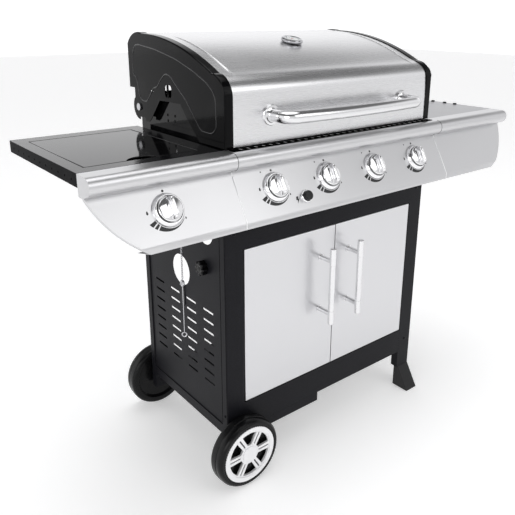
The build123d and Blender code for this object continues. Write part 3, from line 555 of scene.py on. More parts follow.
class Shop:
    """Makes, dresses and mounts pieces."""

    def __init__(self, frame: dict) -> None:
        """Read the frame and find the cart's front face."""
        self.nodes = frame["nodes"]
        self.joints = {joint["name"]: joint for joint in frame["joints"]}
        self.wardrobe = Wardrobe()
        self.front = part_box("left_door")[0].y
        behaviour = frame["record"]["behaviour"]
        self.body_of = {node: body for body, group in behaviour["bodies"].items() for node in group}
        self.slot_of = {part["node"]: part["material_slot"] for part in frame["record"]["subparts"]}

    def at(self, x: float, y: float, z: float) -> Vector:
        """A place in cart axes, in metres in the frame."""
        return Vector((x * MM, self.front + y * MM, z * MM))

    def cart_matrix(self) -> Matrix:
        """Millimetres in cart axes to metres in the frame."""
        return Matrix.Translation(self.at(0, 0, 0)) @ Matrix.Scale(MM, 4)

    def facing(self, origin: Point3, out: Point3, right: Point3 = (1, 0, 0)) -> Matrix:
        """Millimetres on a face to metres: local X lies along right and local Z points out.

        Args:
            origin: the face's origin in cart axes.
            out: the outward direction.
            right: the direction of local X.
        Returns:
            The matrix.
        """
        z = Vector(out).normalized()
        x = (Vector(right) - z * Vector(right).dot(z)).normalized()
        return placed(self.at(*origin), aimed(x, z))

    def finish_piece(self, name: str, mesh: bpy.types.Mesh, body: str, slot: str,
                     finish: object | None = None, replaces: Sequence[str] = (),
                     smooth: float = 32.0) -> bpy.types.Object:
        """Turn a mesh in frame metres into a piece that rides on a body."""
        piece = bpy.data.objects.new(name, mesh)
        bpy.context.scene.collection.objects.link(piece)
        mesh.materials.clear()
        mesh.materials.append(self.wardrobe.get(finish or FINISHES[slot]))
        mesh.shade_smooth()
        mesh.set_sharp_from_angle(angle=radians(smooth))
        self.weigh_normals(piece)
        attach(piece, body)
        if replaces:
            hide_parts(*replaces)
        log.info("%s: %d faces on %s", name, len(piece.data.polygons), body)
        return piece

    @staticmethod
    def weigh_normals(piece: bpy.types.Object) -> None:
        """Bake normals weighted by face area, so that flat faces stay flat beside their bevels."""
        modifier = piece.modifiers.new("weigh", "WEIGHTED_NORMAL")
        modifier.keep_sharp = True
        modifier.weight = 90
        graph = bpy.context.evaluated_depsgraph_get()
        rough = piece.data
        piece.data = bpy.data.meshes.new_from_object(piece.evaluated_get(graph), depsgraph=graph)
        piece.modifiers.clear()
        bpy.data.meshes.remove(rough)

    def from_bmesh(self, name: str, bm: bmesh.types.BMesh, body: str, slot: str, finish: object | None = None,
                   matrix: Matrix | None = None, replaces: Sequence[str] = (),
                   smooth: float = 32.0) -> bpy.types.Object:
        """Place a bmesh, fix its normals and make it a piece.

        Args:
            name: the piece's name.
            bm: the shape, which is freed.
            body: the body it rides on.
            slot: the record's material slot.
            finish: the finish, or None for that of the slot.
            matrix: from the shape's axes to the frame, or None for cart axes.
            replaces: CAD nodes it stands for.
            smooth: the angle in degrees below which edges are shaded smooth.
        Returns:
            The new piece.
        """
        moved(bm, self.cart_matrix() if matrix is None else matrix)
        bmesh.ops.recalc_face_normals(bm, faces=bm.faces)
        mesh = bpy.data.meshes.new(name)
        bm.to_mesh(mesh)
        bm.free()
        return self.finish_piece(name, mesh, body, slot, finish, replaces, smooth)

    def refined(self, node: str, bevel: float, rounds: Sequence[tuple[Callable, float]] = (),
                finish: object | None = None, limit: float = 40.0) -> bpy.types.Object:
        """A clean copy of a CAD node with its edges eased, standing for that node.

        Args:
            node: the node's name.
            bevel: how much every sharp edge is eased, in millimetres; 0 for none.
            rounds: pairs of a test on an edge and a larger radius in millimetres.
            finish: the finish, or None for that of the node's slot.
            limit: the angle in degrees above which an edge is sharp.
        Returns:
            The new piece.
        """
        bm = bmesh.new()
        bm.from_mesh(self.nodes[node].data)
        bmesh.ops.remove_doubles(bm, verts=bm.verts, dist=2e-6)
        bmesh.ops.dissolve_limit(bm, angle_limit=radians(0.5), verts=bm.verts, edges=bm.edges)
        for test, radius in rounds:
            chosen = [edge for edge in bm.edges if self.sharp(edge, limit) and test(edge)]
            bmesh.ops.bevel(bm, geom=chosen, offset=radius * MM, segments=4, profile=0.5, affect="EDGES",
                            clamp_overlap=False)
        if bevel:
            sharp = [edge for edge in bm.edges if self.sharp(edge, limit)]
            bmesh.ops.bevel(bm, geom=sharp, offset=bevel * MM, segments=2, profile=0.5, affect="EDGES",
                            clamp_overlap=True)
        slot = self.slot_of[node]
        mesh = bpy.data.meshes.new(node + "_skin")
        bm.to_mesh(mesh)
        bm.free()
        return self.finish_piece(node + "_skin", mesh, self.body_of[node], slot, finish, [node])

    @staticmethod
    def sharp(edge: bmesh.types.BMEdge, limit: float) -> bool:
        """Whether an edge joins two faces at more than limit degrees."""
        return len(edge.link_faces) == 2 and edge.calc_face_angle(0.0) > radians(limit)


# ---- repeats -----------------------------------------------------------------------------------
@dataclass(frozen=True)
class Spot:
    """Where one copy of a repeated shape goes: a place and a turn, in metres and radians."""

    place: Vector
    turn: tuple[float, float, float]


def spun(place: Matrix, centre: Point3, angle: float) -> Spot:
    """A spot given in a shape's own axes and turned about their Z."""
    rotation = place.to_3x3().normalized() @ Matrix.Rotation(angle, 3, "Z")
    return Spot(place @ Vector(centre), tuple(rotation.to_euler()))


class Repeater:
    """A Geometry Nodes tree that puts a shape on each point of a mesh."""

    def __init__(self, shop: Shop) -> None:
        """Build the tree once."""
        self.shop = shop
        tree = bpy.data.node_groups.new("repeat on points", "GeometryNodeTree")
        for socket, kind in (("Points", "Geometry"), ("Shape", "Object"), ("Size", "Float"),
                             ("Finish", "Material")):
            tree.interface.new_socket(socket, in_out="INPUT", socket_type="NodeSocket" + kind)
        tree.interface.new_socket("Geometry", in_out="OUTPUT", socket_type="NodeSocketGeometry")
        entry, leave, turn, rotation, shape, copies, real, dress = (tree.nodes.new(kind) for kind in (
            "NodeGroupInput", "NodeGroupOutput", "GeometryNodeInputNamedAttribute",
            "FunctionNodeEulerToRotation", "GeometryNodeObjectInfo", "GeometryNodeInstanceOnPoints",
            "GeometryNodeRealizeInstances", "GeometryNodeSetMaterial"))
        turn.data_type = "FLOAT_VECTOR"
        turn.inputs["Name"].default_value = "turn"
        for source, output, target, entrance in (
                (entry, "Points", copies, "Points"), (entry, "Shape", shape, "Object"),
                (shape, "Geometry", copies, "Instance"), (turn, "Attribute", rotation, "Euler"),
                (rotation, "Rotation", copies, "Rotation"), (entry, "Size", copies, "Scale"),
                (copies, "Instances", real, "Geometry"), (real, "Geometry", dress, "Geometry"),
                (entry, "Finish", dress, "Material"), (dress, "Geometry", leave, "Geometry")):
            tree.links.new(source.outputs[output], target.inputs[entrance])
        self.tree = tree

    def spread(self, name: str, shape: bmesh.types.BMesh, spots: Sequence[Spot], body: str, slot: str,
               finish: object | None = None, replaces: Sequence[str] = ()) -> bpy.types.Object:
        """Copy a shape to every spot as one plain mesh.

        Args:
            name: the piece's name.
            shape: the repeated shape about its own origin.
            spots: where the copies go.
            body: the body they ride on.
            slot: the record's material slot.
            finish: the copies' finish, or None for that of the slot.
            replaces: CAD nodes they stand for.
        Returns:
            The new piece.
        """
        pattern_mesh = bpy.data.meshes.new(name + "_shape")
        bmesh.ops.recalc_face_normals(shape, faces=shape.faces)
        shape.to_mesh(pattern_mesh)
        shape.free()
        pattern = bpy.data.objects.new(name + "_shape", pattern_mesh)
        points = bpy.data.meshes.new(name + "_points")
        points.from_pydata([tuple(spot.place) for spot in spots], [], [])
        turns = points.attributes.new("turn", "FLOAT_VECTOR", "POINT")
        for item, spot in zip(turns.data, spots):
            item.vector = spot.turn
        carrier = bpy.data.objects.new(name + "_points", points)
        bpy.context.scene.collection.objects.link(carrier)
        modifier = carrier.modifiers.new("repeat", "NODES")
        modifier.node_group = self.tree
        inputs = {item.name: item.identifier for item in self.tree.interface.items_tree
                  if item.in_out == "INPUT"}
        modifier[inputs["Shape"]] = pattern
        modifier[inputs["Size"]] = MM
        modifier[inputs["Finish"]] = self.shop.wardrobe.get(finish or FINISHES[slot])
        bpy.context.view_layer.update()
        graph = bpy.context.evaluated_depsgraph_get()
        mesh = bpy.data.meshes.new_from_object(carrier.evaluated_get(graph))
        bpy.data.objects.remove(carrier)
        bpy.data.objects.remove(pattern)
        for attribute in [a.name for a in mesh.attributes if a.name == "turn"]:
            mesh.attributes.remove(mesh.attributes[attribute])
        return self.shop.finish_piece(name, mesh, body, slot, finish, replaces)

    def screws(self, name: str, heads: Sequence[tuple[Point3, Point3]], body: str, radius: float,
               slot: str = "zinc_steel") -> bpy.types.Object:
        """Domed screw heads with a cross recess, given by place and outward direction."""
        dome = [(0.0, 0.42), (0.25, 0.4), (0.28, 0.55), (0.6, 0.5), (0.9, 0.28), (1.0, 0.0)]
        rim = [(radius * 0.9, -0.3), (0.0, -0.3)]
        head = lathe([(radius * r, radius * h) for r, h in dome] + rim, 16)
        spots = [Spot(self.shop.at(*place), tuple(Vector(out).to_track_quat("Z", "Y").to_euler()))
                 for place, out in heads]
        return self.spread(name, head, spots, body, slot)


# ---- lid ---------------------------------------------------------------------------------------
@dataclass
class Lid:
    """The hinged lid: skin, pressed ends, bar handle and thermometer."""

    shop: Shop
    repeat: Repeater
    half: float = 297.0
    sheet: float = 1.5
    bottom: float = 731.0
    front: float = -4.0
    back: float = 368.0
    step: float = 812.0
    shoulder: tuple[Point2, ...] = ((-4, 826), (0, 840), (37, 865))
    slope: tuple[Point2, ...] = ((37, 865), (159, 910), (304, 928))
    corner: tuple[Point2, ...] = ((304, 928), (341, 927), (368, 906))
    crease_x: float = 255.0
    crease_half: float = 3.0
    crease_rise: float = 1.1
    crease_span: Point2 = (20.0, 250.0)
    crease_fade: float = 25.0
    crease_low: float = 850.0
    handle_x: float = 191.0
    handle_z: float = 785.0
    handle_r: float = 12.0
    handle_y: float = -56.0
    handle_bow: float = -64.0
    handle_bend: float = 24.0
    gauge_at: Point3 = (0.0, 160.0, 908.5)
    gauge_out: Point3 = (0.0, -0.2351, 0.972)

    def outline(self) -> list[Point2]:
        """The lid's outside from its front edge over the top to its back edge, as (y, z)."""
        points = [(self.front, self.bottom + 1), (self.front, self.bottom + 50)]
        points += arc(*self.shoulder, 14)
        points += arc(*self.slope, 24)[1:]
        points += arc(*self.corner, 14)[1:]
        return points + [(self.back, 860), (self.back, self.step)]

    def skin(self) -> None:
        """The sheet between the ends, with a pressed crease beside each end."""
        line = self.outline()
        for _ in range(4):
            middle = [((a[0] + 2 * b[0] + c[0]) / 4, (a[1] + 2 * b[1] + c[1]) / 4)
                      for a, b, c in zip(line[1:], line[2:], line[3:])]
            line = [line[0], line[1], *middle, line[-1]]
        creases = [self.crease_x + step for step in (-4, -1.5, 0, 1.5, 4)]
        right = [0.0, 75.0, 150.0, *creases, self.half - self.sheet]
        columns = sorted(set(right) | {-x for x in right})
        bm = bmesh.new()
        top = self.grid(bm, inset(line, -self.sheet), columns)
        under = self.grid(bm, inset(line, -2 * self.sheet), columns)
        last, rows = len(columns) - 1, len(line) - 1
        for i in range(last):
            for k in range(rows):
                bm.faces.new((top[i][k], top[i + 1][k], top[i + 1][k + 1], top[i][k + 1]))
                bm.faces.new((under[i][k], under[i][k + 1], under[i + 1][k + 1], under[i + 1][k]))
            for k in (0, rows):
                bm.faces.new((top[i][k], under[i][k], under[i + 1][k], top[i + 1][k]))
        for i in (0, last):
            for k in range(rows):
                bm.faces.new((top[i][k], top[i][k + 1], under[i][k + 1], under[i][k]))
        self.shop.from_bmesh("lid_skin_sheet", bm, "lid", "stainless", replaces=["lid_skin"])

    def grid(self, bm: bmesh.types.BMesh, line: Sequence[Point2],
             columns: Sequence[float]) -> list[list[bmesh.types.BMVert]]:
        """One face of the sheet, a column of vertices at each x, raised along both creases."""
        grid = []
        start, end = self.crease_span
        for x in columns:
            near = max(0.0, 1 - abs(abs(x) - self.crease_x) / self.crease_half)
            column = []
            for i, (y, z) in enumerate(line):
                before, after = line[max(i - 1, 0)], line[min(i + 1, len(line) - 1)]
                along = (Vector(after) - Vector(before)).normalized()
                fade = max(0.0, min(1.0, (y - start) / self.crease_fade, (end - y) / self.crease_fade))
                rise = self.crease_rise * near * (fade if z > self.crease_low else 0.0)
                column.append(bm.verts.new((x, y - along.y * rise, z + along.x * rise)))
            grid.append(column)
        return grid

    def ends(self) -> None:
        """The two pressed ends, their rims rounded and their side panels raised."""
        for side, node in ((-1, "lid_left_end"), (1, "lid_right_end")):
            face = side * self.half * MM
            low = (self.bottom + 1) * MM

            def on_rim(edge: bmesh.types.BMEdge) -> bool:
                """An edge between the side plate and the rim."""
                a, b = (v.co for v in edge.verts)
                flat = abs(a.x - face) < SAME and abs(b.x - face) < SAME
                middle = (a + b) / 2
                over = middle.z > 0.85 or middle.y < self.shop.at(0, self.front + 1, 0).y
                behind = middle.y > self.shop.at(0, self.back - 1, 0).y
                return flat and middle.z > low and (over or behind)

            self.shop.refined(node, 0.4, [(on_rim, 3.5)], LID_ENAMEL)
            self.bead(side, node.replace("_end", "_bead"))

    def bead(self, side: int, name: str) -> None:
        """The pressed bead that runs round the field of an end."""
        outline = [(334, 902), (316, 905), (242, 898), (161, 883), (103, 866), (55, 847), (34, 833),
                   (26, 818), (25, 765), (40, 753), (78, 754), (124, 803), (190, 851), (208, 851),
                   (228, 836), (240, 822), (258, 819), (272, 803), (290, 786), (312, 788), (323, 799),
                   (330, 834), (346, 842), (346, 877)]
        path = [(side * (self.half - 0.8), y, z) for y, z in rounded(outline, 9.0, 4)]
        bead = tube(path, 1.7, 12, closed=True)
        # The bead's lighter enamel is a painted highlight.
        self.shop.from_bmesh(name, bead, "lid", "enamel_black", BEAD_HIGHLIGHT_ENAMEL, smooth=60)

    def handle(self) -> None:
        """The bowed tube, its bends and its flanges."""
        face = self.front + self.sheet
        path: list[Point3] = [(-self.handle_x, face, self.handle_z)]
        for i in range(9):
            turn = pi / 2 * i / 9
            x = -self.handle_x + self.handle_bend * (1 - cos(turn))
            path.append((x, self.handle_y + self.handle_bend * (1 - sin(turn)), self.handle_z))
        for i in range(13):
            t = -1 + 2 * i / 12
            y = self.handle_y + (self.handle_bow - self.handle_y) * (1 - t * t)
            path.append(((self.handle_x - self.handle_bend) * t, y, self.handle_z))
        path += [(-x, y, z) for x, y, z in reversed(path[:10])]
        parts = [tube(path, self.handle_r, 24)]
        for x in (-self.handle_x, self.handle_x):
            flange = lathe([(0, 0), (20, 0), (20, 3.4), (19, 4.6), (14.5, 5.2), (13.2, 7.5), (0, 7.5)], 40)
            turn = Matrix.Translation((x, face, self.handle_z)) @ Matrix.Rotation(radians(90), 4, "X")
            parts.append(moved(flange, turn))
        self.shop.from_bmesh("lid_handle_bar", join(parts), "lid", "polished_steel",
                             replaces=["lid_handle"])

    def gauge(self) -> None:
        """The thermometer: case, face, ticks, needle and glass."""
        place = self.shop.facing(self.gauge_at, self.gauge_out)
        case = lathe([(0, -60), (3, -60), (3, 1), (22, 1.2), (24, 2.4), (25.2, 4.6), (25, 7), (23.6, 8.8),
                      (21.6, 9.5), (19.4, 9.2), (18.7, 8.2), (18.2, 7.2), (0, 7.2)], 56)
        self.shop.from_bmesh("thermometer_case", case, "lid", "chrome", CASE_STEEL, matrix=place,
                             replaces=["thermometer"])
        face = lathe([(0, 7.3), (18, 7.3), (18, 7.6), (0, 7.6)], 40)
        self.shop.from_bmesh("thermometer_face", face, "lid", "chrome", DIAL, matrix=place)
        tick = slab([rectangle((-0.35, 0.35), (0, 3))], 0, 0.12)
        spots = []
        for i in range(25):
            turn = radians(-130 + 260 * i / 24)
            spots.append(spun(place, (13 * sin(turn), 13 * cos(turn), 7.62), -turn))
        self.repeat.spread("thermometer_ticks", tick, spots, "lid", "plastic_black", PRINT)
        needle = slab([[(-1.0, -4), (1.0, -4), (0.25, 14), (-0.25, 14)]], 7.8, 8.0)
        moved(needle, Matrix.Rotation(radians(125), 4, "Z"))
        hub = lathe([(0, 7.65), (2, 7.65), (2, 8.3), (0, 8.5)], 16)
        self.shop.from_bmesh("thermometer_needle", join([needle, hub]), "lid", "plastic_black", NEEDLE,
                             matrix=place)
        glass = lathe([(0, 9.6), (8, 9.4), (18.6, 8.6), (18.6, 8.3), (0, 9.1)], 40)
        self.shop.from_bmesh("thermometer_glass", glass, "lid", "chrome", GLASS, matrix=place)

    def build(self) -> None:
        """Every piece of the lid."""
        self.skin()
        self.ends()
        self.handle()
        self.gauge()


# ---- controls ----------------------------------------------------------------------------------
@dataclass
class Controls:
    """Knobs, bezels, igniter and the printed marks on the fascia."""

    shop: Shop
    repeat: Repeater
    knob_r: float = 22.5
    bezel_r: float = 30.0
    mark_r: float = 34.0
    scale_span: Point2 = (204, 322)

    def panel(self, index: int) -> Matrix:
        """The place of a knob on the fascia, from its joint: local Y runs up the panel, Z points out."""
        joint = self.shop.joints[f"knob_turn_{index}"]
        return placed(Vector(joint["pos_m"]), aimed(RIGHT, Vector(joint["axis"])))

    @staticmethod
    def swell(value: float, power: float) -> float:
        """A number between -1 and 1, its size raised to a power and its sign kept."""
        return abs(value) ** power * (1 if value >= 0 else -1)

    def knob(self, index: int) -> None:
        """A domed disc with a crowned grip across it and a pointer line."""
        r = self.knob_r
        disc = lathe([(0, 5.5), (r - 2, 5.5), (r - 0.4, 6.2), (r, 7.5), (r, 10.5), (r - 0.5, 11.8),
                      (r - 1.8, 12.6), (r - 4.5, 12.9), (r - 9, 14.2), (0, 15.4)], 56)
        levels = ((9.0, 20.0, 6.6), (16.0, 19.8, 6.2), (22.0, 19.2, 5.2), (25.5, 18.0, 4.2),
                  (27.2, 15.5, 3.0), (27.9, 12.0, 1.6))
        turns = [tau * i / 28 for i in range(28)]
        sections = []
        for height, length, width in levels:
            sections.append([(width * self.swell(cos(t), 0.7), length * self.swell(sin(t), 0.8), height)
                             for t in turns])
        grip = loft(sections)
        body = f"control_knob_{index}"
        place = self.panel(index)
        self.shop.from_bmesh(f"knob_{index}", join([disc, grip]), body, "chrome", matrix=place,
                             replaces=[body], smooth=48)
        line = slab([rectangle((-0.7, 0.7), (15.2, 21.2))], 12.9, 13.2)
        self.shop.from_bmesh(f"knob_pointer_{index}", line, body, "plastic_black", PRINT, matrix=place)

    def bezels(self) -> None:
        """The five dished chrome rings."""
        r = self.bezel_r
        profile = [(24.2, 0.1), (r - 0.4, 0.1), (r, 0.6), (r, 1.4), (r - 0.6, 3.0), (r - 1.8, 5.0),
                   (r - 3.4, 7.2), (r - 4.6, 8.2), (r - 5.4, 8.2), (24.2, 7.4)]
        rings = [moved(lathe(profile, 56), self.panel(index)) for index in range(1, 6)]
        self.shop.from_bmesh("knob_bezel_rings", join(rings), "cart", "chrome", matrix=Matrix(),
                             replaces=["knob_bezels"])

    def marks(self) -> None:
        """Plain marks round each knob: a dot for off, flame drops and a tapering scale."""
        for index in range(1, 6):
            outlines = [self.disc(0, self.mark_r, 2.3), self.drop(-38.5, 2.0, 3.4),
                        self.drop(28.5, -19.0, 2.2)]
            if index > 1:
                outlines.append(self.disc(-25.0, self.mark_r, 1.5))
            outlines += [self.scale(*span) for span in ((204, 214), (217.5, 225), (228.5, 322))]
            marks = slab(outlines, 0.0, 0.12)
            self.shop.from_bmesh(f"knob_marks_{index}", marks, "cart", "plastic_black", PRINT,
                                 matrix=self.panel(index))

    @staticmethod
    def disc(x: float, y: float, r: float) -> list[Point2]:
        """A round dot."""
        return [(x + r * cos(tau * i / 20), y + r * sin(tau * i / 20)) for i in range(20)]

    @staticmethod
    def drop(x: float, y: float, r: float) -> list[Point2]:
        """A flame-like drop."""
        return [(x + r * 0.55 * sin(tau * i / 20) * (1 - 0.35 * cos(tau * i / 20)), y + r * cos(tau * i / 20))
                for i in range(20)]

    def scale(self, start: float, end: float) -> list[Point2]:
        """A stretch of the tapering band between two angles in degrees."""
        inner, outer = [], []
        steps = max(3, int((end - start) / 4))
        for i in range(steps + 1):
            angle = start + (end - start) * i / steps
            share = (angle - self.scale_span[0]) / (self.scale_span[1] - self.scale_span[0])
            reach = self.bezel_r + 1.2
            width = 0.7 + 12.0 * (1 - share) ** 1.6
            turn = radians(angle)
            inner.append((reach * cos(turn), reach * sin(turn)))
            outer.append(((reach + width) * cos(turn), (reach + width) * sin(turn)))
        return inner + outer[::-1]

    def igniter(self) -> None:
        """The collar and its black push button."""
        joint = self.shop.joints["igniter_press"]
        low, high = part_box("igniter_collar")
        out = -Vector(joint["axis"])
        centre = (low + high) / 2
        front = max((v.co for v in self.shop.nodes["igniter_collar"].data.vertices), key=lambda p: p.dot(out))
        base = centre + out * ((front - centre).dot(out) - 5.0 * MM)
        place = placed(base, aimed(RIGHT, out))
        collar = lathe([(10.1, -22), (11, -22), (11, 0.1), (13.4, 0.1), (13.5, 0.8), (13, 3), (12.2, 4.4),
                        (11.2, 5), (10.4, 4.9), (10.1, 4.4)], 40)
        self.shop.from_bmesh("igniter_ring", collar, "cart", "chrome", matrix=place,
                             replaces=["igniter_collar"])
        button = lathe([(0, -15), (9.9, -15), (10, 9.5), (9.6, 11), (8.6, 12), (6.5, 12.4), (0, 12.2)], 40)
        self.shop.from_bmesh("igniter_push", button, "igniter_button", "plastic_black", matrix=place,
                             replaces=["igniter_button"])
        bolt = [(-24, 4), (-19, 4), (-21, -1), (-17.5, -1), (-24.5, -10), (-22.5, -3), (-26, -3)]
        bm = slab([bolt], 0.0, 0.12)
        self.shop.from_bmesh("igniter_mark", bm, "cart", "plastic_black", PRINT, matrix=place)

    def build(self) -> None:
        """Every control."""
        for index in range(1, 6):
            self.knob(index)
        self.bezels()
        self.marks()
        self.igniter()


# ---- wheels ------------------------------------------------------------------------------------
@dataclass
class Wheels:
    """Two moulded wheels with silver caps."""

    shop: Shop
    repeat: Repeater
    width: float = 39.0
    radius: float = 78.0
    cap_r: float = 63.5
    recess: float = 7.0
    spoke_floor: float = 39.0 - 2.5 - 0.9

    def wheel(self, name: str, outward: int) -> None:
        """One wheel on its axle: a shallow groove round the tread, fine ribs on the side and dark strips of
        painted shade in the cap's spoke grooves.
        """
        joint = self.shop.joints[name + "_wheel_spin"]
        low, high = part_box(name + "_tyre")
        inner = high.y if outward < 0 else low.y
        x, _, z = joint["pos_m"]
        place = placed(Vector((x, inner, z)), aimed(RIGHT, Vector((0, outward, 0))))
        w, r, web = self.width, self.radius, self.width - self.recess
        tread = [(5.05, 0), (14, 0), (16, 1.0), (20, 7), (57, 7), (60.5, 3.5), (62, 0.8), (64, 0.2),
                 (70, 0), (73.5, 1.0), (76, 3), (77.4, 5.5), (r, 8), (r, 19), (r - 0.6, 20.2), (r - 1.3, 21),
                 (r - 1.3, 22), (r - 0.9, 23), (r - 0.7, w - 11), (r - 1.4, w - 7), (r - 2.8, w - 4),
                 (r - 5.0, w - 1.6), (71, w - 0.4), (68, w - 0.2), (66, w - 0.7),
                 (self.cap_r + 0.3, w - 1.2), (self.cap_r, web), (52, web - 6), (20, web - 8),
                 (12, web - 0.5), (12, web - 4), (5.05, web - 4)]
        body = name + "_wheel"
        self.shop.from_bmesh(name + "_wheel_black", lathe(tread, 96), body, "tyre_black", matrix=place,
                             replaces=[name + "_tyre"])
        # Dark strips at the bottom of each spoke groove: painted shade in the grooves.
        groove = slab([rounded(rectangle((24, 50), (-1.4, 1.4)), 1.2, 3)], 0.0, 0.15)
        spots = [spun(place, (0, 0, self.spoke_floor), tau * i / 6) for i in range(6)]
        self.repeat.spread(name + "_wheel_grooves", groove, spots, body, "hub_silver", GROOVE_SHADE)
        rib = slab([rectangle((self.cap_r, 72), (-0.5, 0.5))], -0.6, -0.12)
        spots = [spun(place, (0, 0, self.width), tau * i / 72) for i in range(72)]
        self.repeat.spread(name + "_wheel_ribs", rib, spots, body, "tyre_black")
        self.shop.refined(name + "_hub_cap", 0.5, limit=30)

    def build(self) -> None:
        """Both wheels."""
        self.wheel("front", -1)
        self.wheel("rear", 1)


# ---- doors -------------------------------------------------------------------------------------
@dataclass
class Doors:
    """The two doors and their bar handles."""

    shop: Shop
    repeat: Repeater
    handle_x: float = 43.0
    handle_y: float = -38.0
    span: Point2 = (306.0, 487.0)
    posts: Point2 = (330.0, 456.0)
    bar_r: float = 7.0

    def door(self, side: str) -> None:
        """A folded pan with rounded front edges."""
        face = self.shop.at(0, 0, 0).y

        def front_edge(edge: bmesh.types.BMEdge) -> bool:
            """An edge on the door's front face."""
            return all(abs(v.co.y - face) < SAME for v in edge.verts)

        self.shop.refined(side + "_door", 0.0, [(front_edge, 0.9)], DOOR_STEEL)

    def handle(self, side: str, sign: int) -> None:
        """An upright tube with end sleeves, closed ends and two posts."""
        low, high = self.span
        r = self.bar_r
        x = sign * self.handle_x
        profile = [(0, low), (r - 1.5, low), (r - 0.3, low + 0.8), (r, low + 2), (r, self.posts[0] + 8),
                   (r - 0.45, self.posts[0] + 8.4), (r - 0.45, self.posts[1] - 8.4), (r, self.posts[1] - 8),
                   (r, high - 2), (r - 0.3, high - 0.8), (r - 1.5, high), (0, high)]
        parts = [moved(lathe(profile, 32), Matrix.Translation((x, self.handle_y, 0)))]
        for z in self.posts:
            post = lathe([(0, 0), (8, 0), (8, 1.2), (6.2, 1.8), (5.5, 3), (5.5, 34), (0, 34)], 28)
            turn = Matrix.Translation((x, 0, z)) @ Matrix.Rotation(radians(90), 4, "X")
            parts.append(moved(post, turn))
        self.shop.from_bmesh(side + "_door_bar", join(parts), side + "_door", "polished_steel",
                             replaces=[side + "_door_handle"])

    def build(self) -> None:
        """Both doors."""
        for side, sign in (("left", -1), ("right", 1)):
            self.door(side)
            self.handle(side, sign)


# ---- match holder ------------------------------------------------------------------------------
@dataclass
class MatchHolder:
    """The hanging chain of small links and its rod."""

    shop: Shop
    repeat: Repeater
    x: float = -327.0
    y: float = 119.0
    top: float = 698.0
    low: float = 430.0
    wire: float = 0.55
    pitch: float = 4.4

    def chain(self) -> None:
        """Small oval links, each turned a quarter from the last."""
        half, side = 3.0, 1.7
        path = []
        for i in range(16):
            t = tau * i / 16
            path.append((side * cos(t), 0.0, side * sin(t) + (half - side) * (1 if sin(t) >= 0 else -1)))
        link = tube(path, self.wire, 6, closed=True)
        count = int((self.top - self.low - 4) / self.pitch)
        pitch = (self.top - self.low - 4) / count
        spots = []
        for i in range(count):
            place = self.shop.at(self.x, self.y, self.top - 2 - pitch * (i + 0.5))
            spots.append(Spot(place, (0, 0, pi / 2 * (i % 2))))
        self.repeat.spread("match_chain_links", link, spots, "match_chain", "zinc_steel",
                           replaces=["match_chain"])

    def rod(self) -> None:
        """The straight rod, its hook eye and its finger ring."""
        stops = (self.low - 4, self.low - 60, 315)
        parts = [tube([(self.x, self.y, z) for z in stops], 0.9, 10)]
        for z, r, wire in ((self.low - 1.0, 3.2, 0.9), (309.0, 5.0, 1.5)):
            loop = [(self.x + 0.83 * r * cos(tau * i / 24), self.y - 0.56 * r * cos(tau * i / 24),
                     z + r * sin(tau * i / 24)) for i in range(24)]
            parts.append(tube(loop, wire, 8, closed=True))
        self.shop.from_bmesh("match_rod_bar", join(parts), "match_rod", "zinc_steel",
                             replaces=["match_rod"])

    def build(self) -> None:
        """Chain and rod."""
        self.chain()
        self.rod()


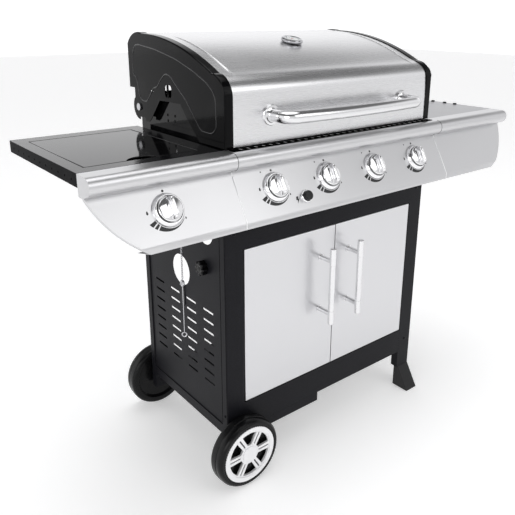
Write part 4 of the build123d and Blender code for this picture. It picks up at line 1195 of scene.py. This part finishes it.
# ---- cart, tables, firebox ---------------------------------------------------------------------
@dataclass
class Body:
    """Everything fixed: cart, tables, fascia and firebox, from eased copies of their CAD shapes."""

    shop: Shop
    repeat: Repeater
    table_top: float = 729.0
    panel_x: float = 298.0
    post_x: float = 300.0
    seam_x: float = 297.6
    clamp: Point2 = (77.8, 471.9)
    lobed_from: float = 12.0
    strap: tuple[Point2, Point2] = ((160, 174), (352, 412))
    roll: Point3 = (-29.0, 713.0, 16.0)
    plain: dict[str, float] = field(default_factory=lambda: {
        "bottom_shelf": 0.3, "bottle_tray": 0.3, "rear_brace": 0.3, "front_top_rail": 0.35,
        "front_bottom_rail": 0.35, "firebox": 0.3, "firebox_brackets": 0.3, "main_burners": 0.2,
        "flame_tamers": 0.2, "left_grate": 0.8, "right_grate": 0.8, "warming_rack": 0.0, "grease_tray": 0.25,
        "grease_cup": 0.25, "side_burner_bowl": 0.3, "side_burner_head": 0.4, "pan_support": 0.6,
        "tool_hooks": 0.4, "wheel_axle": 0.4, "gas_manifold": 0.4, "lid_hinge_pins": 0.5})

    def plain_pieces(self) -> None:
        """Pieces that only need their edges eased."""
        for node, bevel in self.plain.items():
            self.shop.refined(node, bevel)
        for index in range(1, 6):
            self.shop.refined(f"valve_stem_{index}", 0.3)

    def panels(self) -> None:
        """The side panels, their posts' edges rolled."""
        for side, sign in (("left", -1), ("right", 1)):
            outer = sign * 0.3

            def corner(edge: bmesh.types.BMEdge) -> bool:
                """A long upright outer edge of a post."""
                a, b = (v.co for v in edge.verts)
                upright = abs(a.z - b.z) > 0.2
                return upright and abs(a.x - outer) < SAME and abs(b.x - outer) < SAME

            self.shop.refined(side + "_side_panel", 0.0, [(corner, 2.0)])

    def feet(self) -> None:
        """The wedge feet with soft edges."""
        for name in ("front_foot", "rear_foot"):
            self.shop.refined(name, 0.0, [(lambda edge: True, 1.6)])

    def fascia(self) -> None:
        """The three fascia sections."""
        for name in ("left_fascia", "center_fascia", "right_fascia"):
            self.shop.refined(name, 0.3)

    def tables(self) -> None:
        """Both tables and the side burner's lid, their top edges rolled."""
        top = self.table_top * MM

        def rolled(edge: bmesh.types.BMEdge) -> bool:
            """An outer edge of the top."""
            return all(abs(v.co.z - top) < SAME for v in edge.verts) and edge.is_convex

        for name, radius, finish in (("left_table", 1.0, TABLE_ENAMEL), ("right_table", 1.2, None),
                                     ("side_burner_lid", 1.3, None)):
            piece = self.shop.refined(name, 0.0, [(rolled, radius)], finish)
            if finish is TABLE_ENAMEL:
                # The upright faces take the darker, unreflective copy: painted shade.
                piece.data.materials.append(self.shop.wardrobe.get(SHADED_EDGE_ENAMEL))
                for face in piece.data.polygons:
                    face.material_index = 1 if abs(face.normal.z) < 0.5 else 0

    def fasteners(self) -> None:
        """Screw heads where the sheets are held."""
        heads: list[tuple[Point3, Point3]] = []
        for sign in (-1, 1):
            heads += [((sign * 300, y, z), (sign, 0, 0)) for y in (10, 325) for z in (150, 660)]
            heads += [((sign * 278, 0, z), (0, -1, 0)) for z in (140, 560)]
            heads += [((sign * 240, y, z), (0, 1, 0)) for y, z in ((333, 601), (342, 700), (342, 780))]
        self.repeat.screws("cart_screws", heads, "cart", 3.4, "cart_black")
        self.repeat.screws("bracket_bolt", [((-299.6, 167, 404), (-1, 0, 0))], "cart", 7.6)
        pins = [((sign * 230, 1.5, 526.5), (0, -1, 0)) for sign in (-1, 1)]
        self.repeat.screws("rail_pins", pins, "cart", 1.6)

    def seams(self) -> None:
        """Dark sealer lines where each side sheet meets its posts, and the strap that the bolt holds."""
        stand = Matrix(((0, 0, 1, 0), (1, 0, 0, 0), (0, 1, 0, 0), (0, 0, 0, 1)))
        strips = []
        for sign in (-1, 1):
            near, far = sorted((sign * (self.post_x - 0.2), sign * (self.post_x + 0.15)))
            for y in (2.0, 18.6, 315.2):
                strips.append(moved(slab([rectangle((y, y + 1.2), (131, 598))], near, far), stand))
        self.shop.from_bmesh("panel_seams", join(strips), "cart", "cart_black", SEAM_BLACK_AND_SHADE)
        outline = rounded(rectangle(*self.strap), 6.5)
        strap = moved(slab([outline], -self.panel_x - 1.6, -self.panel_x + 0.1), stand)
        self.shop.from_bmesh("bracket_strap", strap, "cart", "cart_black", KNOB_PLASTIC)

    def lip(self) -> None:
        """The black lip in front of the firebox and its louvres; the lip's flat, unreflective black is also a
        painted shadow under the lid's front edge.
        """
        top = self.table_top + 1.2
        lip = slab([rectangle((-290, 290), (-21, -5))], self.table_top + 0.05, top)
        # Partly the real black lip, partly painted shadow under the lid.
        self.shop.from_bmesh("front_lip", lip, "cart", "enamel_black", SEAM_BLACK_AND_SHADE)
        tooth = slab([rectangle((-1.2, 1.2), (-4, 4))], 0.0, 0.25)
        spots = [Spot(self.shop.at(-270 + 18 * i, -13, top), (0, 0, radians(12))) for i in range(31)]
        self.repeat.spread("front_louvres", tooth, spots, "cart", "burner_steel")

    def fascia_seams(self) -> None:
        """The dark joint round the roll and a white strip down the panel, a painted highlight on the fold's
        edge, on both sides of the centre.
        """
        y, z, radius = self.roll
        turns = [pi / 2 + pi * i / 16 for i in range(17)]
        fold_highlights = []
        for side, x in (("left", -self.seam_x), ("right", self.seam_x)):
            # A white tube along each fold: painted highlight.
            fold_highlights.append(tube([(x, -21.4, 692.0), (x, -68.7, 608.4), (x, -68.9, 596.0)], 0.75, 8))
            round_roll = [(x, y + radius * cos(t), z + radius * sin(t)) for t in turns]
            seam = tube([*round_roll, (x, -21.5, 693.2)], 0.45, 8)
            self.shop.from_bmesh("roll_seam_" + side, seam, "cart", "fascia_steel", SEAM_BLACK_AND_SHADE)
        self.shop.from_bmesh("fascia_folds", join(fold_highlights), "cart", "fascia_steel", FOLD_HIGHLIGHT)

    def clamp_knob(self) -> None:
        """The lobed plastic knob that clamps the panel's bracket."""
        levels = ((0.4, 15.0), (1.2, 16.2), (11.5, 16.2), (13.4, 15.2), (14.6, 13.0), (15.0, 10.0),
                  (14.2, 7.0), (14.4, 5.0), (15.4, 3.6))
        sections = []
        for height, radius in levels:
            points = circle(radius, height, 96)
            if radius > self.lobed_from:
                shares = [0.87 + 0.13 * cos(8 * tau * i / 96) for i in range(96)]
                points = [(x * share, y * share, z) for (x, y, z), share in zip(points, shares)]
            sections.append(points)
        knob = loft(sections)
        shank = lathe([(0, -10), (3, -10), (3, 1), (0, 1)], 16)
        place = self.shop.facing((-self.panel_x, *self.clamp), (-1, 0, 0), (0, 1, 0))
        self.shop.from_bmesh("clamp_knob_body", join([knob, shank]), "clamp_knob", "plastic_black",
                             KNOB_PLASTIC, matrix=place, replaces=["clamp_knob"], smooth=50)

    def build(self) -> None:
        """Every fixed piece."""
        self.plain_pieces()
        self.panels()
        self.feet()
        self.fascia()
        self.tables()
        self.fasteners()
        self.seams()
        self.lip()
        self.fascia_seams()
        self.clamp_knob()


# ---- studio ------------------------------------------------------------------------------------
@dataclass
class Studio:
    """Floor, light and camera."""

    shop: Shop
    lens: float = 42.695
    eye: Point3 = (-922.9, -906.4, 968.1)
    heading: float = -38.92
    height: float = 17.73
    roll: float = 0.32
    shift: Point2 = (-0.0225, -0.0938)

    def camera(self) -> None:
        """A view from the front left, from above the tables."""
        data = bpy.data.cameras.new("camera")
        data.lens = self.lens
        data.shift_x, data.shift_y = self.shift
        data.clip_start, data.clip_end = 0.05, 50
        camera = bpy.data.objects.new("camera", data)
        bpy.context.scene.collection.objects.link(camera)
        a, e, r = radians(self.heading), radians(self.height), radians(self.roll)
        back = Vector((sin(a) * cos(e), -cos(a) * cos(e), sin(e)))
        right = (-back).cross(Vector((0, 0, 1))).normalized()
        up = right.cross(-back)
        x = right * cos(r) + up * sin(r)
        y = up * cos(r) - right * sin(r)
        matrix = Matrix((x, y, back)).transposed().to_4x4()
        camera.matrix_world = Matrix.Translation(self.shop.at(*self.eye)) @ matrix
        bpy.context.scene.camera = camera

    def floor(self) -> None:
        """A plain pale floor."""
        paint = Paint("studio floor")
        paint.set(Base_Color=(0.9, 0.9, 0.9, 1), Roughness=paint.noise(3.0) * 0.1 + 0.6)
        paint.set(Emission_Color=(1, 1, 1, 1), Emission_Strength=0.36)
        mesh = bpy.data.meshes.new("floor")
        r = 14.0
        mesh.from_pydata([(-r, -r, 0), (r, -r, 0), (r, r, 0), (-r, r, 0)], [], [(0, 1, 2, 3)])
        mesh.materials.append(paint.material)
        floor = bpy.data.objects.new("floor", mesh)
        bpy.context.scene.collection.objects.link(floor)

    def sky(self) -> None:
        """A white studio whose upper walls are a little darker than its floor and ceiling."""
        world = bpy.data.worlds.new("studio")
        bpy.context.scene.world = world
        world.use_nodes = True
        tree = world.node_tree
        coordinates = tree.nodes.new("ShaderNodeTexCoord")
        split = tree.nodes.new("ShaderNodeSeparateXYZ")
        ramp = tree.nodes.new("ShaderNodeValToRGB")
        stops = ((0.0, 1.0), (0.42, 1.04), (0.52, 0.55), (0.58, 0.2), (0.86, 0.12), (0.94, 1.2), (1.0, 1.5))
        ramp.color_ramp.elements[0].position = 0.0
        ramp.color_ramp.elements[1].position = 1.0
        for position, level in stops[1:-1]:
            ramp.color_ramp.elements.new(position)
        for element, (position, level) in zip(ramp.color_ramp.elements, stops):
            element.position = position
            element.color = (level, level, level * 1.01, 1)
        tree.links.new(coordinates.outputs["Generated"], split.inputs[0])
        tree.links.new(split.outputs["Z"], ramp.inputs[0])
        back = tree.nodes["Background"]
        depth = tree.nodes.new("ShaderNodeMath")
        depth.operation = "MULTIPLY_ADD"
        depth.inputs[1].default_value, depth.inputs[2].default_value = 0.22, 1.0
        tree.links.new(split.outputs["Y"], depth.inputs[0])
        tree.links.new(depth.outputs[0], back.inputs["Strength"])
        tree.links.new(ramp.outputs[0], back.inputs["Color"])

    def lamp(self, name: str, place: Point3, aim: Point3, size: Point2, power: float) -> None:
        """One soft box."""
        data = bpy.data.lights.new(name, "AREA")
        data.shape = "RECTANGLE"
        data.size, data.size_y = size
        data.energy = power
        lamp = bpy.data.objects.new(name, data)
        lamp.location = place
        lamp.rotation_euler = (Vector(aim) - Vector(place)).to_track_quat("-Z", "Y").to_euler()
        bpy.context.scene.collection.objects.link(lamp)

    def build(self) -> None:
        """Everything round the grill."""
        self.camera()
        self.floor()
        self.sky()
        centre = (0.0, 0.0, 0.5)
        self.lamp("key", (0.6, -2.3, 2.2), (-0.3, -0.2, 0.6), (2.2, 1.5), 13)
        self.lamp("fill", (-3.0, -1.8, 1.6), centre, (1.6, 1.6), 18)
        self.lamp("top", (0.0, 0.4, 3.4), centre, (3.0, 2.0), 20)
        scene = bpy.context.scene
        scene.view_settings.view_transform = "Standard"


def corners(bounds: tuple[Vector, Vector]) -> list[list[float]]:
    """Two corners as plain lists."""
    return [[float(v) for v in corner] for corner in bounds]


def main() -> None:
    """Build the grill round its frame."""
    logging.basicConfig(level=logging.INFO, format="%(name)s %(message)s")
    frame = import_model()
    shop = Shop(frame)
    repeat = Repeater(shop)
    Studio(shop).build()
    for group in (Body, Lid, Controls, Wheels, Doors, MatchHolder):
        group(shop, repeat).build()
        log.info("%s done", group.__name__)


if __name__ == "__main__":
    main()
